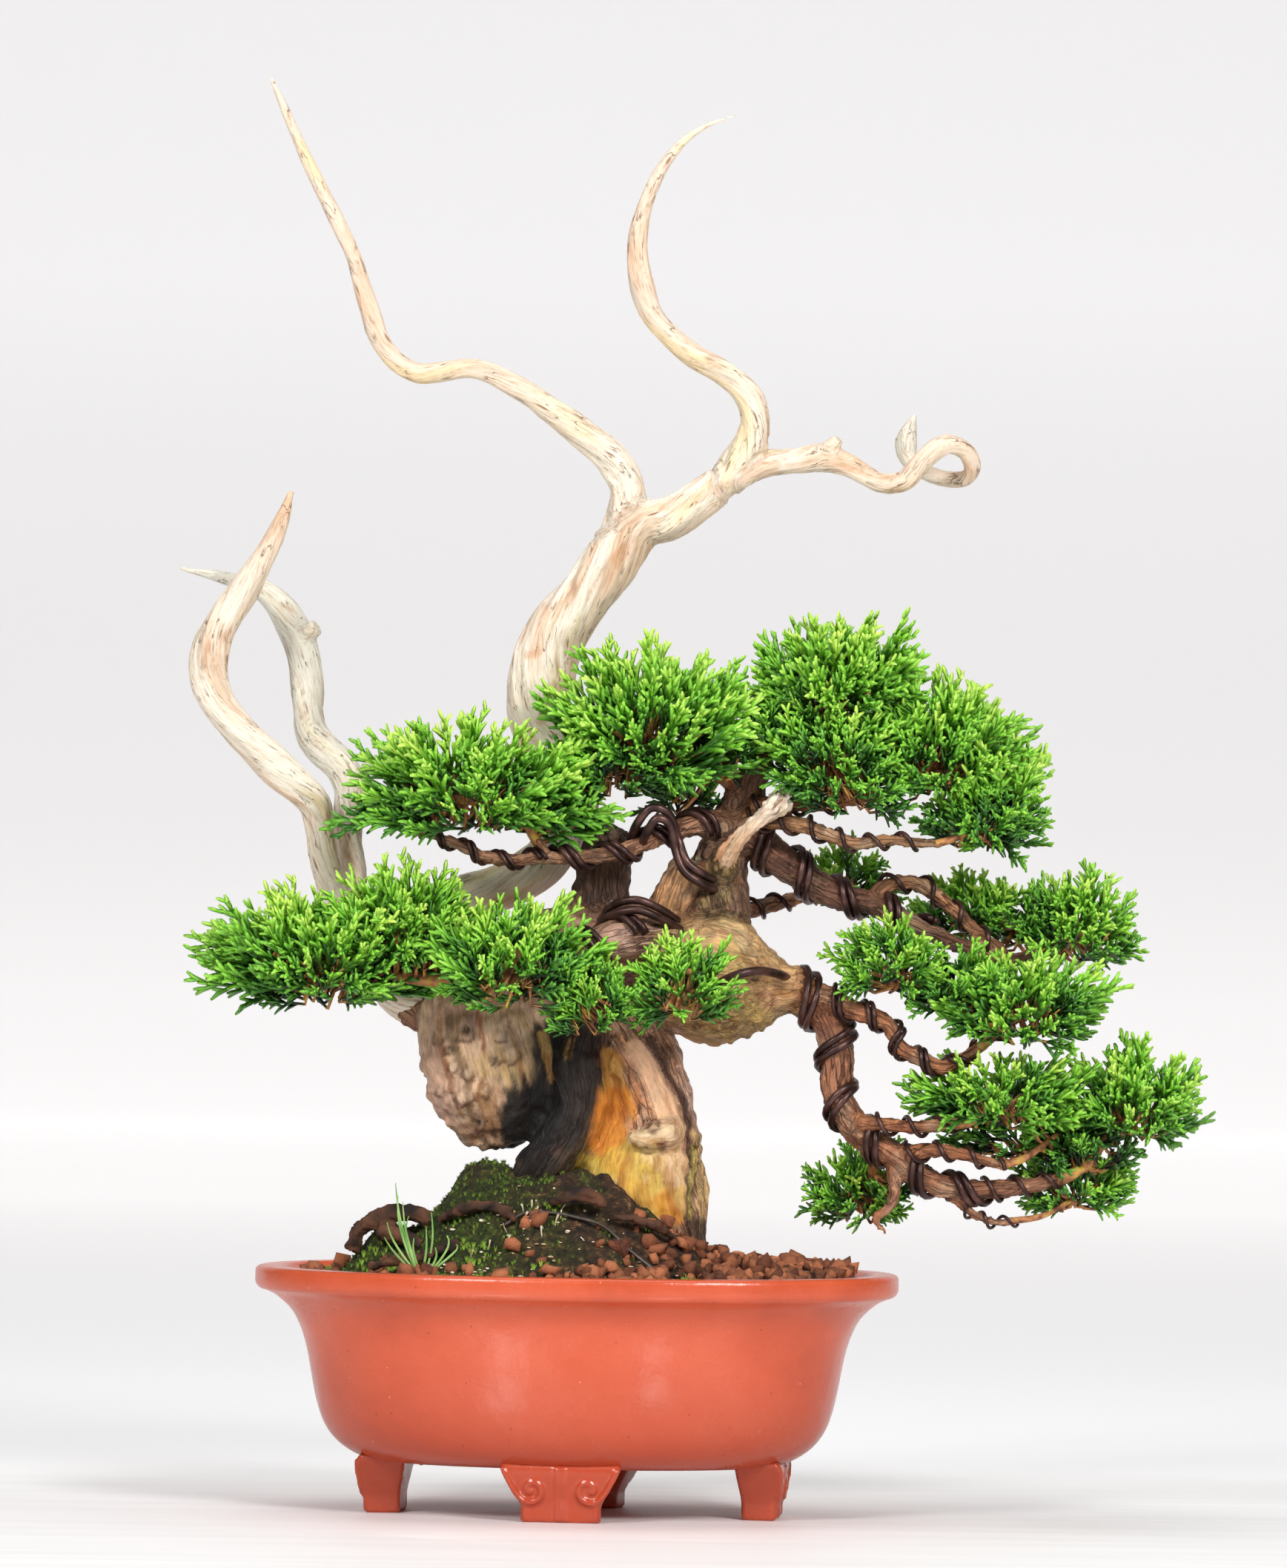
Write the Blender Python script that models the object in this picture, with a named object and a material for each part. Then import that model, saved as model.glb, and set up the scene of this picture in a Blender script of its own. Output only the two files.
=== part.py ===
"""Chinese juniper bonsai in an oval unglazed pot, about 486 mm tall.

Every length below is in millimetres, and MM turns it to metres when a mesh is made. Wood routes are read in
the front view: x to the right, y the depth behind the pot's middle, z up from the feet, and the radius there.
place() levels that view, which leans a little to the right, and allows for its distance.
"""
import math
import random

import bmesh
import bpy
import numpy as np
from mathutils import Matrix, Vector, noise

MM = 0.001
GAP = 0.3
SEAT_GAP = 0.35
SHORT_EDGE = 0.02

# The front view that the routes were read in
VIEW_DISTANCE = 3000.0
EYE_X = 22.5
EYE_Z = 210.0
VIEW_ROLL = math.radians(0.85)
LEVEL_Z = 82.5

# Pot
POT_TURN = math.radians(-5.3)
POT_SEGMENTS = 32
POT_HALF_WIDTH = 108.6
POT_DEPTH_RATIO = 0.667
POT_DEPTH_NARROWING = 0.1
OVAL_POWER = 2.15
RIM_Z = 82.5
FLOOR_Z = 24.5
SOIL_EDGE_Z = 79.0
POT_OUTSIDE = [  # half width, height
    (107.4, RIM_Z), (108.6, 81.2), (108.6, 76.2), (106.6, 74.2), (99.6, 71.0), (94.8, 65.6), (90.8, 54.5),
    (88.4, 42.0), (84.8, 30.0), (77.4, 21.6), (66.0, 17.5),
]
POT_INSIDE = [  # half width, height, from the floor up
    (68.0, FLOOR_Z), (78.0, 34.0), (82.0, 50.0), (88.0, 66.0), (96.0, SOIL_EDGE_Z), (99.6, RIM_Z),
]
FOOT_OUTLINE = [  # half width, height, outer face from the foot's middle, inner face from it
    (13.6, 0.0, -6.0, 5.6), (13.6, 6.4, -6.0, 5.6), (14.6, 7.6, -6.4, 5.8), (18.8, 12.0, -7.8, 6.8),
    (20.4, 15.2, -8.6, 7.6), (20.4, 20.0, -7.0, 7.6),
]
END_FOOT_X = 63.2
SIDE_FOOT_Y = 37.0
DRAIN_X = 36.0
DRAIN_RADIUS = 7.5
DRAIN_SIDES = 16
DRAIN_CUT = 20.0
MESH_SIZE = 22.0
MESH_THICKNESS = 1.2
MESH_CELLS = 2
MESH_BAR = 1.6

# Soil
SOIL_RINGS = (0.9, 0.76, 0.62, 0.48, 0.33, 0.17)
SOIL_BUMPS = [  # x, y, half width, half depth, height, power of the fall
    (-10.0, 2.0, 46.0, 44.0, 37.5, 4.0),
    (15.0, -13.0, 19.0, 17.0, 9.0, 2.4),
    (-33.0, 2.0, 10.0, 12.0, 6.0, 3.0),
    (-66.0, -4.0, 10.0, 9.0, 13.0, 2.6),
    (62.0, 0.0, 34.0, 40.0, 5.0, 2.4),
]
GRAINS = 10
GRAIN_RADIUS = (1.8, 2.5)

# Grass and the wire that lies on the mound
GRASS_FOOT = (-51.0, -38.0)
GRASS_BLADES = [  # end of each blade from its foot: x, y, z, and its bow to the side
    (-8.5, -2.0, 26.0, -2.5), (-5.0, 3.0, 19.0, -3.0), (8.0, -3.0, 13.0, 3.5), (2.5, 2.0, 20.5, 1.5),
    (-13.0, 1.0, 12.0, -2.0),
]
GRASS_SIDES = 6
SOIL_WIRE_ROUTE = [
    (-24.0, -36.0), (-17.0, -35.0), (-8.0, -34.0), (0.0, -34.0), (9.0, -35.0), (18.0, -38.0), (26.0, -42.0),
]
SOIL_WIRE_RADIUS = 0.8
SOIL_WIRE_LIFT = 1.3

# Living wood
WOOD = {
    "column": [
        (22, 6, 68, 20), (21.5, 5, 91, 22), (21, 4, 104, 22), (21.5, 3, 115, 21.5), (24, 2, 126, 18),
        (25, 1, 136, 15.4),
        (23.7, 0, 146, 13.6), (20.3, 0, 156, 13), (15.5, 0, 167, 13), (8, 2, 178, 14), (2, 4, 188, 14),
    ],
    "strap": [
        (6, -4, 170, 8), (1.5, -6, 152, 8.5), (1.5, -6.5, 138, 8.7), (-3.5, -6, 127, 8.7), (-12, -4, 117, 9),
        (-16, -2, 109, 8),
    ],
    "hollow": [(-16, 6, 131, 8), (-9, 6, 140, 12), (-5, 5, 152, 13), (-4, 5, 166, 12.5)],
    "left_bulb": [
        (-24, 5, 124.5, 8), (-25, 5, 130, 15), (-26, 5, 139, 21), (-27, 5, 150, 24.5), (-28, 6, 162, 25),
        (-26, 7, 174, 23), (-21, 8, 186, 18), (-14, 8, 194, 11),
    ],
    "saddle": [(-24, 8, 180, 14), (-10, 7, 185, 18.5), (6, 6, 187, 19), (22, 4, 188, 18), (36, 1, 185, 16)],
    "right_bulb": [
        (28, 0, 187, 13), (36, -2, 183, 19), (46, -3, 180.5, 22.5), (54, -3, 178.5, 20.5),
        (61, -2.5, 177, 15.5),
        (68, -2, 176, 10),
    ],
    "left_seat": [(-34, 8, 160, 10), (-57, 14, 172, 6.6)],
    "main_seat": [(-30, 8, 170, 13), (-46, 9, 184, 8.2)],
    "dark_column": [
        (8, 6, 196, 11), (8.5, 5, 206, 10.5), (9, 4, 216, 9.5), (11, 3, 226, 8), (13, 2, 231, 5.5),
    ],
    "cut_column": [
        (28, -2, 194, 9), (31, -5, 203, 7.5), (34, -7, 211, 6.8), (37, -8.5, 217.5, 6.3), (38, -9, 220, 5.5),
    ],
    "limb": [
        (36, -6, 190, 9), (26, -15, 193, 8), (14, -22.5, 193, 7.2), (2, -27.5, 190.5, 5.6),
        (-9, -30, 187.5, 4.4),
        (-24, -30, 182, 3.4), (-38, -29, 180, 2.8),
    ],
    "limb_spur": [(-11, -30, 187, 3), (-12, -37, 190, 1.9)],
    "sprig_spur": [(27, -14, 192, 4), (28, -25, 188, 1.8)],
    "upper_trunk": [
        (46, 1, 196, 14), (46, 3, 206, 12), (47, 4, 216, 10), (50, 5, 226, 8.6), (54, 5.5, 235, 7.4),
        (57, 5.5, 243, 6.2), (60.5, 5, 251, 5.2), (64, 5, 260, 4.2), (66, 5, 267, 3.2),
    ],
    "stub_seat": [(48, 1, 215, 6.5), (50.5, -7.5, 220.5, 4)],
    "top_spur": [(57, 5.5, 243, 4), (47, 0, 250, 2.4)],
    "upper_left": [
        (50, 3, 231, 6.5), (41.8, -3, 232.5, 4.2), (28.8, -9, 228.8, 3.2), (14.5, -13, 223, 2.9),
        (0.5, -15, 221.5, 2.6),
        (-13.8, -16, 221.3, 2.4), (-23, -17, 220.3, 2.2), (-30.5, -18, 221.5, 2), (-39, -19, 225, 1.9),
        (-48.5, -20, 228.8, 1.7), (-56, -20.5, 230.5, 1.4),
    ],
    "upper_left_spur": [(-10, -16, 221.4, 2), (-14, -16, 227.5, 1.7)],
    "upper_right": [
        (54, 5, 236, 5), (63, 0, 238.5, 3.6), (73.5, -5, 239.3, 2.9), (85, -8, 239.3, 2.6),
        (96.5, -9, 241.8, 2.3),
        (104.3, -9, 243.5, 2),
    ],
    "upper_right_low": [
        (52, 4, 230, 6), (62, -3, 234, 3.6), (69.8, -8, 233.3, 3), (77.5, -12, 232, 2.7),
        (85.8, -15, 228.5, 2.5),
        (95, -16, 226, 2.2), (104.3, -16, 227, 2), (115.8, -14, 226.3, 1.7), (123.3, -12, 225.5, 1.3),
    ],
    "right_upper": [
        (50, 4, 226, 8), (57.3, 4, 229, 7), (67.8, 4, 221.3, 6), (78, 5, 214, 5.4), (88.5, 6, 207.8, 4.8),
        (98.8, 7, 206, 4.2), (114.3, 8, 198.5, 3.2), (129.8, 10, 191.3, 2.8), (143.3, 12, 187, 2.5),
        (155.8, 13, 188.5, 2.1),
    ],
    "right_upper_fork": [
        (98.8, 7, 206, 3.6), (105, 8, 212, 2.8), (115.3, 9, 212.4, 2.6), (124.8, 10, 205.5, 2.4),
        (135, 11, 196, 2.2),
        (144, 12, 189, 2.2),
    ],
    "back_branch": [(50, 8, 204, 6), (54.3, 16, 203, 3.6), (64, 23, 205, 2.8), (74, 27, 207.5, 2.3)],
    "middle": [
        (64, -2, 177, 11), (72, -2, 176, 8.5), (80, -3, 172, 7), (85.5, -4, 165, 6.2), (88, -6, 152.3, 5.6),
        (87.3, -7, 143.5, 5.4), (91, -8, 135, 5.1), (96.8, -9, 127.3, 5), (106.3, -10, 121.5, 4.6),
        (114, -10, 115, 4.2), (125.5, -10, 110, 3.8), (139.8, -10, 109.3, 3.2), (154, -9, 111, 2.6),
        (163, -8, 113, 2.2),
    ],
    "pad_branch": [
        (78, -4, 174, 6), (85, -9, 174.3, 4), (92, -12, 170.5, 3.5), (104.3, -14, 165.5, 3),
        (109.3, -15, 157.5, 2.8),
        (115.8, -16, 153.3, 2.6), (124.5, -17, 150.8, 2.3), (131, -17, 154.3, 2.1), (136, -16.5, 157.5, 1.9),
    ],
    "drop_fork": [(93, -8, 132, 4), (100.5, -15, 131.6, 2.6), (115.8, -19, 130.5, 2.3), (130.3, -19, 132, 2)],
    "drop_fork_low": [
        (107, -10, 121, 3.6), (121.5, -17, 122.5, 2.2), (135, -18, 119.8, 1.9), (144.5, -17, 116.8, 1.4),
    ],
    "back_spur": [(98, -8, 126, 4), (100, 4, 118, 2)],
    "low_twig": [(125.5, -10, 110, 2.6), (131, -10, 103, 1.7), (139, -10, 98.6, 1.5), (149.3, -9, 98.8, 1.1)],
    "bent_twig": [
        (106.3, -10, 119, 2.6), (106.8, -10, 106, 1.8), (100.5, -10, 99, 1.4), (104.5, -10, 95.4, 1),
    ],
    "pale_spike": [(31, -12, 128, 5), (23.5, -17.5, 126, 3), (17.5, -20, 127.5, 1.7)],
}
FLAT_WOOD = {"left_bulb": 0.8, "saddle": 0.85, "right_bulb": 0.88}
WOOD_RIPPLE = 0.05

# Bleached wood
MAIN_JIN = {
    "lower": [
        (-51.5, 12, 191, 7.8), (-50.5, 16, 200.5, 7.5), (-42, 17.5, 207, 7.6), (-31, 18.5, 209.6, 7.6),
        (-19, 20, 214.6, 7.8), (-8.3, 22, 223, 8), (-1.5, 25, 236, 8), (-2.8, 27, 249.5, 8.6),
        (-9, 28, 260, 9.6),
        (-13.5, 28, 271, 10.8), (-11.4, 28, 284.3, 11.4), (-7.5, 27, 296, 10.4), (1, 26, 307.5, 9.4),
        (10.5, 24, 319.5, 9.2),
        (20.5, 22, 333.5, 8.6), (31, 20, 336, 7.4), (42.5, 19, 343, 6.4), (52.5, 18, 350, 6),
        (62.5, 17.5, 354, 5.1),
        (74, 17, 354.8, 4.5), (82.5, 16, 356, 4.5), (91, 15, 354, 4.1), (96.8, 15, 350.5, 3.8),
        (102.8, 14, 347.4, 3.6),
        (110.3, 13, 348, 3.5), (115, 12, 353, 3.5), (119.8, 11, 358, 3.3), (125.3, 12, 360.8, 3.2),
        (130.8, 15, 359, 3.1),
        (133.6, 19, 354, 2.9), (132, 24, 349.6, 2.8), (126.3, 29, 348.8, 2.7), (119.8, 33, 350.5, 2.6),
        (112.5, 35, 355, 2.6),
        (111.2, 36, 361, 3.6), (112.2, 36, 365.5, 2.6), (114.3, 36, 371, 0.7),
    ],
    "left_arm": [
        (12, 23.5, 324, 7.5), (16.8, 22, 337, 6.9), (17.6, 21, 346.5, 6.3), (12.6, 20, 355.5, 5.5),
        (2.3, 19, 364.3, 5),
        (-6.5, 18, 370.7, 4.5), (-14.3, 17, 376.3, 4), (-22.3, 16, 381, 3.7), (-30.8, 15.5, 385.3, 3.5),
        (-38, 15, 386.4, 3.5),
        (-46, 14, 385, 3.5), (-54, 13.5, 384.5, 3.5), (-61, 13, 388.5, 3.5), (-66.8, 12, 396.2, 3.3),
        (-69.8, 11.5, 405.5, 3),
        (-72.5, 11, 414.5, 2.8), (-75.5, 10, 424.5, 2.6), (-79.8, 9, 434, 2.5), (-84, 8, 442.5, 2.4),
        (-88.3, 7, 451, 2.2),
        (-94, 6, 463.3, 1.9), (-98.3, 5, 473.3, 1.5), (-103.8, 4, 485.5, 0.5),
    ],
    "rising_arm": [
        (49, 18, 347, 6), (56.8, 17, 357.5, 6.2), (59.9, 15, 366.5, 5.5), (59, 13, 374.5, 4.9),
        (55, 12, 380.5, 4.6),
        (48.3, 11, 385.6, 4.3), (39.5, 10, 390.4, 3.9), (31.5, 9, 397, 3.7), (25.3, 8, 404.5, 3.8),
        (21.8, 7, 414.3, 3.9),
        (20.6, 6, 424.5, 3.5), (21.3, 5, 434, 3), (23.8, 4, 443, 2.6), (28.2, 3, 453, 2),
        (35.3, 1, 462.3, 1.4),
        (43.8, -1, 468.3, 0.9), (54.3, -3, 472, 0.4),
    ],
    "nub": [(83, 16, 356.5, 3.6), (86.5, 14, 360.6, 2.6), (88.3, 13, 362.6, 1.7)],
}
LEFT_JIN = {
    "front": [
        (-65.5, 17.5, 180, 6.4), (-72, 21, 189, 6.4), (-77.5, 22, 200, 6.4), (-82.5, 21, 211, 5.4),
        (-85.5, 19, 222, 5), (-86.5, 18, 231, 5.2), (-88, 17, 239, 5.7), (-93.3, 16, 245, 6),
        (-100.2, 15, 251.3, 6),
        (-107.8, 14, 257.8, 5.8), (-115.3, 13, 265.6, 5.7), (-121.6, 12, 274.5, 5.7), (-124.5, 11, 284.5, 6),
        (-123, 10, 293.8, 6.2), (-118.6, 9, 302.5, 6), (-112.3, 8, 311.5, 5), (-105.5, 7, 322.5, 3.7),
        (-99.8, 6, 334.8, 2.6),
        (-96.3, 5, 345, 1.1),
    ],
    "back": [
        (-75.5, 22, 196, 5.6), (-75.5, 27, 206, 5.4), (-75.5, 31, 216, 4.9), (-77, 33, 226.5, 5.1),
        (-77.2, 34, 236, 5.6),
        (-76.9, 35, 244.8, 5.9), (-79.6, 36, 252, 6), (-85, 37, 257.4, 5.6), (-89.6, 38, 263.4, 5.3),
        (-91, 38, 272, 5.2),
        (-91, 38, 281, 5.2), (-92.2, 38, 290, 5.2), (-95.8, 38, 299, 5.2), (-101, 38, 307, 4.8),
        (-107.5, 38, 312.3, 3.8),
        (-116.5, 38, 315, 2.6), (-124.5, 38, 317, 1.6), (-134, 38, 318.8, 0.6),
    ],
    "knob": [(-93, 37, 296, 4), (-87.6, 34, 299, 3)],
}
STUB_JIN = {
    "stub": [
        (55.5, -13, 229, 2.9), (61, -12.5, 234.3, 2.8), (65.5, -13.5, 238, 3.8), (69, -14, 241, 4.6),
        (70.6, -14.2, 242.6, 3),
    ],
}
JIN_RIPPLE = 0.05

# The flat end of living wood that each of these starts on
SEATS = {"lower": "main_seat", "front": "left_seat", "stub": "stub_seat"}

# Wires: the wood they coil on, first and last arc length, radius, rise per turn, start angle, and how much
# nearer to the wood's middle they lie than its thickest skin would let them
WIRES = {
    "wire_upper_left": ("upper_left", 14.0, 58.0, 1.3, 9.0, 0.0, 0.0),
    "wire_upper_left_end": ("upper_left", 70.0, 108.0, 0.8, 9.0, 0.0, 0.0),
    "wire_limb": ("limb", 30.0, 46.0, 1.3, 7.0, 1.0, 0.0),
    "wire_right_upper": ("right_upper", 24.0, 56.0, 1.4, 7.5, 0.5, 0.0),
    "wire_drop": ("middle", 30.0, 58.0, 1.4, 8.5, 0.0, 0.75),
    "wire_pad_branch": ("pad_branch", 17.0, 62.0, 0.9, 9.0, 0.0, 0.0),
}
WIRE_POINTS_PER_TURN = 7
WIRE_SIDES = 4

# Foliage: the flat wood end that each pad starts on, its leafy stems (the first goes on from that end), and
# its clumps (middle x, y, z, half sizes, shoots)
PADS = {
    "foliage_upper_left": (
        "upper_left_spur",
        [[(-20, -16, 236, 1.6), (-34, -17, 240, 1.5), (-50, -19, 242, 1.3), (-60, -20, 243, 1)]],
        [(-34, -16, 245, 45, 27, 22, 70)],
    ),
    "foliage_top": (
        "top_spur",
        [[(38, -3, 256, 2), (24, -4, 261, 1.7), (6, -5, 264, 1.2)]],
        [(25, -6, 266, 38, 28, 27, 60)],
    ),
    "foliage_upper_right": (
        "upper_trunk",
        [[(70, 4, 275, 2.2), (86, 2, 277, 1.8), (98, 2, 277, 1.2)], [(70, 4, 275, 1.8), (84, -5, 258, 1.3)]],
        [(88, 1, 280, 30, 28, 24, 46), (87, -12, 257, 28, 19, 18, 24)],
    ),
    "foliage_upper_right_end": (
        "upper_right",
        [[(112, -7, 249, 1.8), (122, 0, 252, 1.5), (136, 3, 243, 1.2)]],
        [(122, 1, 259, 29, 27, 25, 40), (140, 4, 241, 19, 23, 26, 36)],
    ),
    "foliage_lower_left": (
        "limb",
        [[(-58, -27, 181, 2), (-82, -25, 187, 1.6), (-100, -24, 191, 1.1)]],
        [(-84, -25, 189, 43, 26, 22, 60), (-57, -27, 197, 29, 21, 22, 30)],
    ),
    "foliage_lower_middle": (
        "limb_spur",
        [[(-13, -43, 193, 1.6), (-17, -48, 193, 1.2)]],
        [(-22, -47, 187, 30, 16, 22, 40), (6, -45, 172, 15, 10, 15, 13)],
    ),
    "foliage_sprig": (
        "sprig_spur",
        [[(33, -33, 184, 1.4), (42, -34, 182, 1)]],
        [(36, -37, 179, 19, 11, 18, 20)],
    ),
    "foliage_far_right": (
        "right_upper",
        [[(166, 14, 193, 1.6), (174, 15, 199, 1.1)],
         [(166, 14, 193, 1.5), (148, 26, 199, 1.3), (132, 29, 203, 1)]],
        [(169, 15, 199, 22, 21, 19, 32), (133, 29, 203, 22, 15, 14, 14)],
    ),
    "foliage_right": (
        "pad_branch",
        [[(142, -16, 163, 1.7), (152, -14, 169, 1.5), (164, -13, 169, 1.1)],
         [(142, -16, 163, 1.6), (126, -15, 173, 1.3), (110, -14, 181, 1)]],
        [(106, -14, 186, 19, 19, 16, 22), (150, -15, 172, 31, 21, 18, 39)],
    ),
    "foliage_lower_right": (
        "drop_fork",
        [[(138, -19, 135, 1.7), (152, -16, 140, 1.2)]],
        [(144, -16, 141, 31, 21, 15, 34)],
    ),
    "foliage_lower_right_end": (
        "middle",
        [[(172, -7, 118, 1.8), (182, -6, 130, 1.5), (196, -4, 136, 1.1)],
         [(172, -7, 118, 1.4), (177, 5, 113, 1)]],
        [(187, -5, 139, 26, 23, 20, 42), (168, 6, 111, 23, 15, 12, 14)],
    ),
    "foliage_low_back": (
        "back_spur",
        [[(98, 12, 112, 1.5), (88, 15, 107, 1.1)]],
        [(94, 14, 108, 19, 14, 14, 18)],
    ),
    "foliage_back": (
        "back_branch",
        [[(83, 31, 211.5, 1.6), (92, 34, 213, 1.1)]],
        [(89, 34, 213, 19, 14, 11, 16)],
    ),
}
SEED = 11
SHOOT_RADIUS = 1.3
SHOOT_SIDES = 3
SHOOT_ROOT = 2.5
SHOOT_REACH = (0.82, 1.1)
SHOOT_JITTER = 0.4
SHOOT_RISE = 0.35
WIDE_CLUMP = 30.0
CORE_SHARE = 0.56
CORE_UNEVEN = 0.16
CORE_SKIN = 0.7
LOWEST_SHOOT = -0.8
STEM_LINK_RADIUS = 1.2
LINK_SHARES = (0.3, 0.6, 1)
CLEARANCE = 0.45
GOLDEN_TURN = math.radians(137.5)


def place(x, y, z):
    """A point read in the front view at depth y, levelled and moved along its line of sight."""
    across, up = x, z - LEVEL_Z
    level_x = math.cos(VIEW_ROLL) * across - math.sin(VIEW_ROLL) * up
    level_z = math.sin(VIEW_ROLL) * across + math.cos(VIEW_ROLL) * up + LEVEL_Z
    far = 1 + y / VIEW_DISTANCE
    return Vector((EYE_X + (level_x - EYE_X) * far, y, EYE_Z + (level_z - EYE_Z) * far))


def placed(route):
    """A route's points in the model, each with its radius."""
    return [(place(x, y, z), radius) for x, y, z, radius in route]


def seated(route, seat):
    """A run that goes straight on from the flat end of a piece of living wood, then along its own route."""
    (before, _), (end, radius) = placed(WOOD[seat])[-2:]
    way = (end - before).normalized()
    thin = min(radius, route[0][3] * 1.3)
    return [(end + way * SEAT_GAP, thin), (end + way * (SEAT_GAP + thin), thin)] + placed(route)


class Solids:
    """The straight runs of every piece made so far, so that a new shoot can keep clear of them."""

    def __init__(self):
        self.starts, self.ends, self.radii, self.owners = [], [], [], []

    def add(self, owner, run, grow=1.0):
        for (start, r0), (end, r1) in zip(run, run[1:]):
            self.starts.append(tuple(start))
            self.ends.append(tuple(end))
            self.radii.append(max(r0, r1) * grow)
            self.owners.append(owner)

    def clearance(self, start, end, radius, skip):
        """The least gap from a run to the pieces whose owner skip doesn't name."""
        others = np.array([not skip(owner) for owner in self.owners])
        if not others.any():
            return math.inf
        p2 = np.array(self.starts)[others]
        d2 = np.array(self.ends)[others] - p2
        p1, d1 = np.array(start), np.array(end) - np.array(start)
        r = p1 - p2
        a, e = d1 @ d1, np.einsum("ij,ij->i", d2, d2)
        f, c, b = np.einsum("ij,ij->i", d2, r), r @ d1, d2 @ d1
        s = np.clip((b * f - c * e) / np.maximum(a * e - b * b, 1e-9), 0, 1)
        t = np.clip((b * s + f) / np.maximum(e, 1e-9), 0, 1)
        s = np.clip((b * t - c) / max(a, 1e-9), 0, 1)
        gaps = np.linalg.norm(r + s[:, None] * d1 - t[:, None] * d2, axis=1)
        return float((gaps - np.array(self.radii)[others]).min()) - radius


def new_object(name, bm, colour=None, roughness=0.7):
    """A mesh object from a bmesh in millimetres, with its own material."""
    bmesh.ops.scale(bm, vec=(MM, MM, MM), verts=bm.verts)
    mesh = bpy.data.meshes.new(name)
    bm.to_mesh(mesh)
    bm.free()
    made = bpy.data.objects.new(name, mesh)
    bpy.context.scene.collection.objects.link(made)
    if colour:
        material = bpy.data.materials.new(name)
        material.use_nodes = True
        shader = material.node_tree.nodes["Principled BSDF"]
        shader.inputs["Base Color"].default_value = (*colour, 1)
        shader.inputs["Roughness"].default_value = roughness
        mesh.materials.append(material)
    return made


def cross_frames(points):
    """The direction at each point of a run, with two cross directions that turn as little as they can."""
    steps = [(b - a).normalized() for a, b in zip(points, points[1:])]
    ways = [steps[0]] + [(a + b).normalized() for a, b in zip(steps, steps[1:])] + [steps[-1]]
    side = ways[0].orthogonal().normalized()
    frames = []
    for way in ways:
        side = (side - way * side.dot(way)).normalized()
        frames.append((way, side, way.cross(side)))
    return frames


def sides_for(run):
    """More sides on thicker wood."""
    widest = max(radius for _, radius in run)
    return 10 if widest > 13 else 7 if widest > 6.5 else 6 if widest > 4.5 else 5


def tube(run, sides=None, ripple=0.0, flatten=1.0):
    """A closed round bar along a run, extruded ring by ring; ripple makes its skin uneven."""
    sides = sides or sides_for(run)
    points = [point for point, _ in run]
    rings = []
    for (point, radius), (_, side, other) in zip(run, cross_frames(points)):
        ring = []
        for k in range(sides):
            turn = 2 * math.pi * k / sides
            offset = (side * math.cos(turn) + other * math.sin(turn)) * radius
            offset.y *= flatten
            ring.append(point + offset * (1 + ripple * noise.noise((point + offset) * 0.09)))
        rings.append(ring)
    bm = bmesh.new()
    face = bm.faces.new([bm.verts.new(corner) for corner in rings[0]])
    first_edges = list(face.edges)
    for ring in rings[1:]:
        face = bmesh.ops.extrude_discrete_faces(bm, faces=[face])["faces"][0]
        for vert, corner in zip(face.verts, ring):
            vert.co = corner
    bmesh.ops.contextual_create(bm, geom=[edge for edge in first_edges if edge.is_valid])
    bmesh.ops.recalc_face_normals(bm, faces=bm.faces)
    return bm


def needle(start, end, radius, sides=SHOOT_SIDES, turn=0.0):
    """A slim pointed shoot, its root at start."""
    along = end - start
    frame = Matrix.Translation((start + end) / 2) @ along.to_track_quat("Z", "Y").to_matrix().to_4x4()
    bm = bmesh.new()
    bmesh.ops.create_cone(
        bm, cap_ends=True, segments=sides, radius1=radius, radius2=0, depth=along.length,
        matrix=frame @ Matrix.Rotation(turn, 4, "Z"),
    )
    bmesh.ops.remove_doubles(bm, verts=bm.verts, dist=0.001)
    return bm


def without_slivers(mesh):
    """Close up the very short edges that a union leaves where two bodies just meet."""
    bm = bmesh.new()
    bm.from_mesh(mesh)
    bmesh.ops.triangulate(bm, faces=bm.faces)
    bmesh.ops.dissolve_degenerate(bm, dist=SHORT_EDGE * MM, edges=bm.edges)
    bmesh.ops.triangulate(bm, faces=bm.faces)
    bm.to_mesh(mesh)
    bm.free()


def apply_boolean(target, operation, others, solver="EXACT"):
    """Join or cut an object with others by one Boolean on a collection, and remove the others."""
    group = bpy.data.collections.new(target.name + "_with")
    for other in others:
        bpy.context.scene.collection.objects.unlink(other)
        group.objects.link(other)
    bpy.context.scene.collection.children.link(group)
    modifier = target.modifiers.new("join", "BOOLEAN")
    modifier.operation = operation
    modifier.operand_type = "COLLECTION"
    modifier.collection = group
    modifier.solver = solver
    graph = bpy.context.evaluated_depsgraph_get()
    mesh = bpy.data.meshes.new_from_object(target.evaluated_get(graph))
    target.modifiers.clear()
    without_slivers(mesh)
    old = target.data
    target.data = mesh
    bpy.data.meshes.remove(old)
    for other in list(group.objects):
        bpy.data.objects.remove(other)
    bpy.data.collections.remove(group)
    return target


def fused(name, bodies, colour, roughness, solver="MANIFOLD"):
    """One object from many overlapping closed bodies."""
    target = new_object(name, bodies[0], colour, roughness)
    others = [new_object(f"{name}_{i}", bm) for i, bm in enumerate(bodies[1:])]
    return apply_boolean(target, "UNION", others, solver) if others else target


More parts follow.
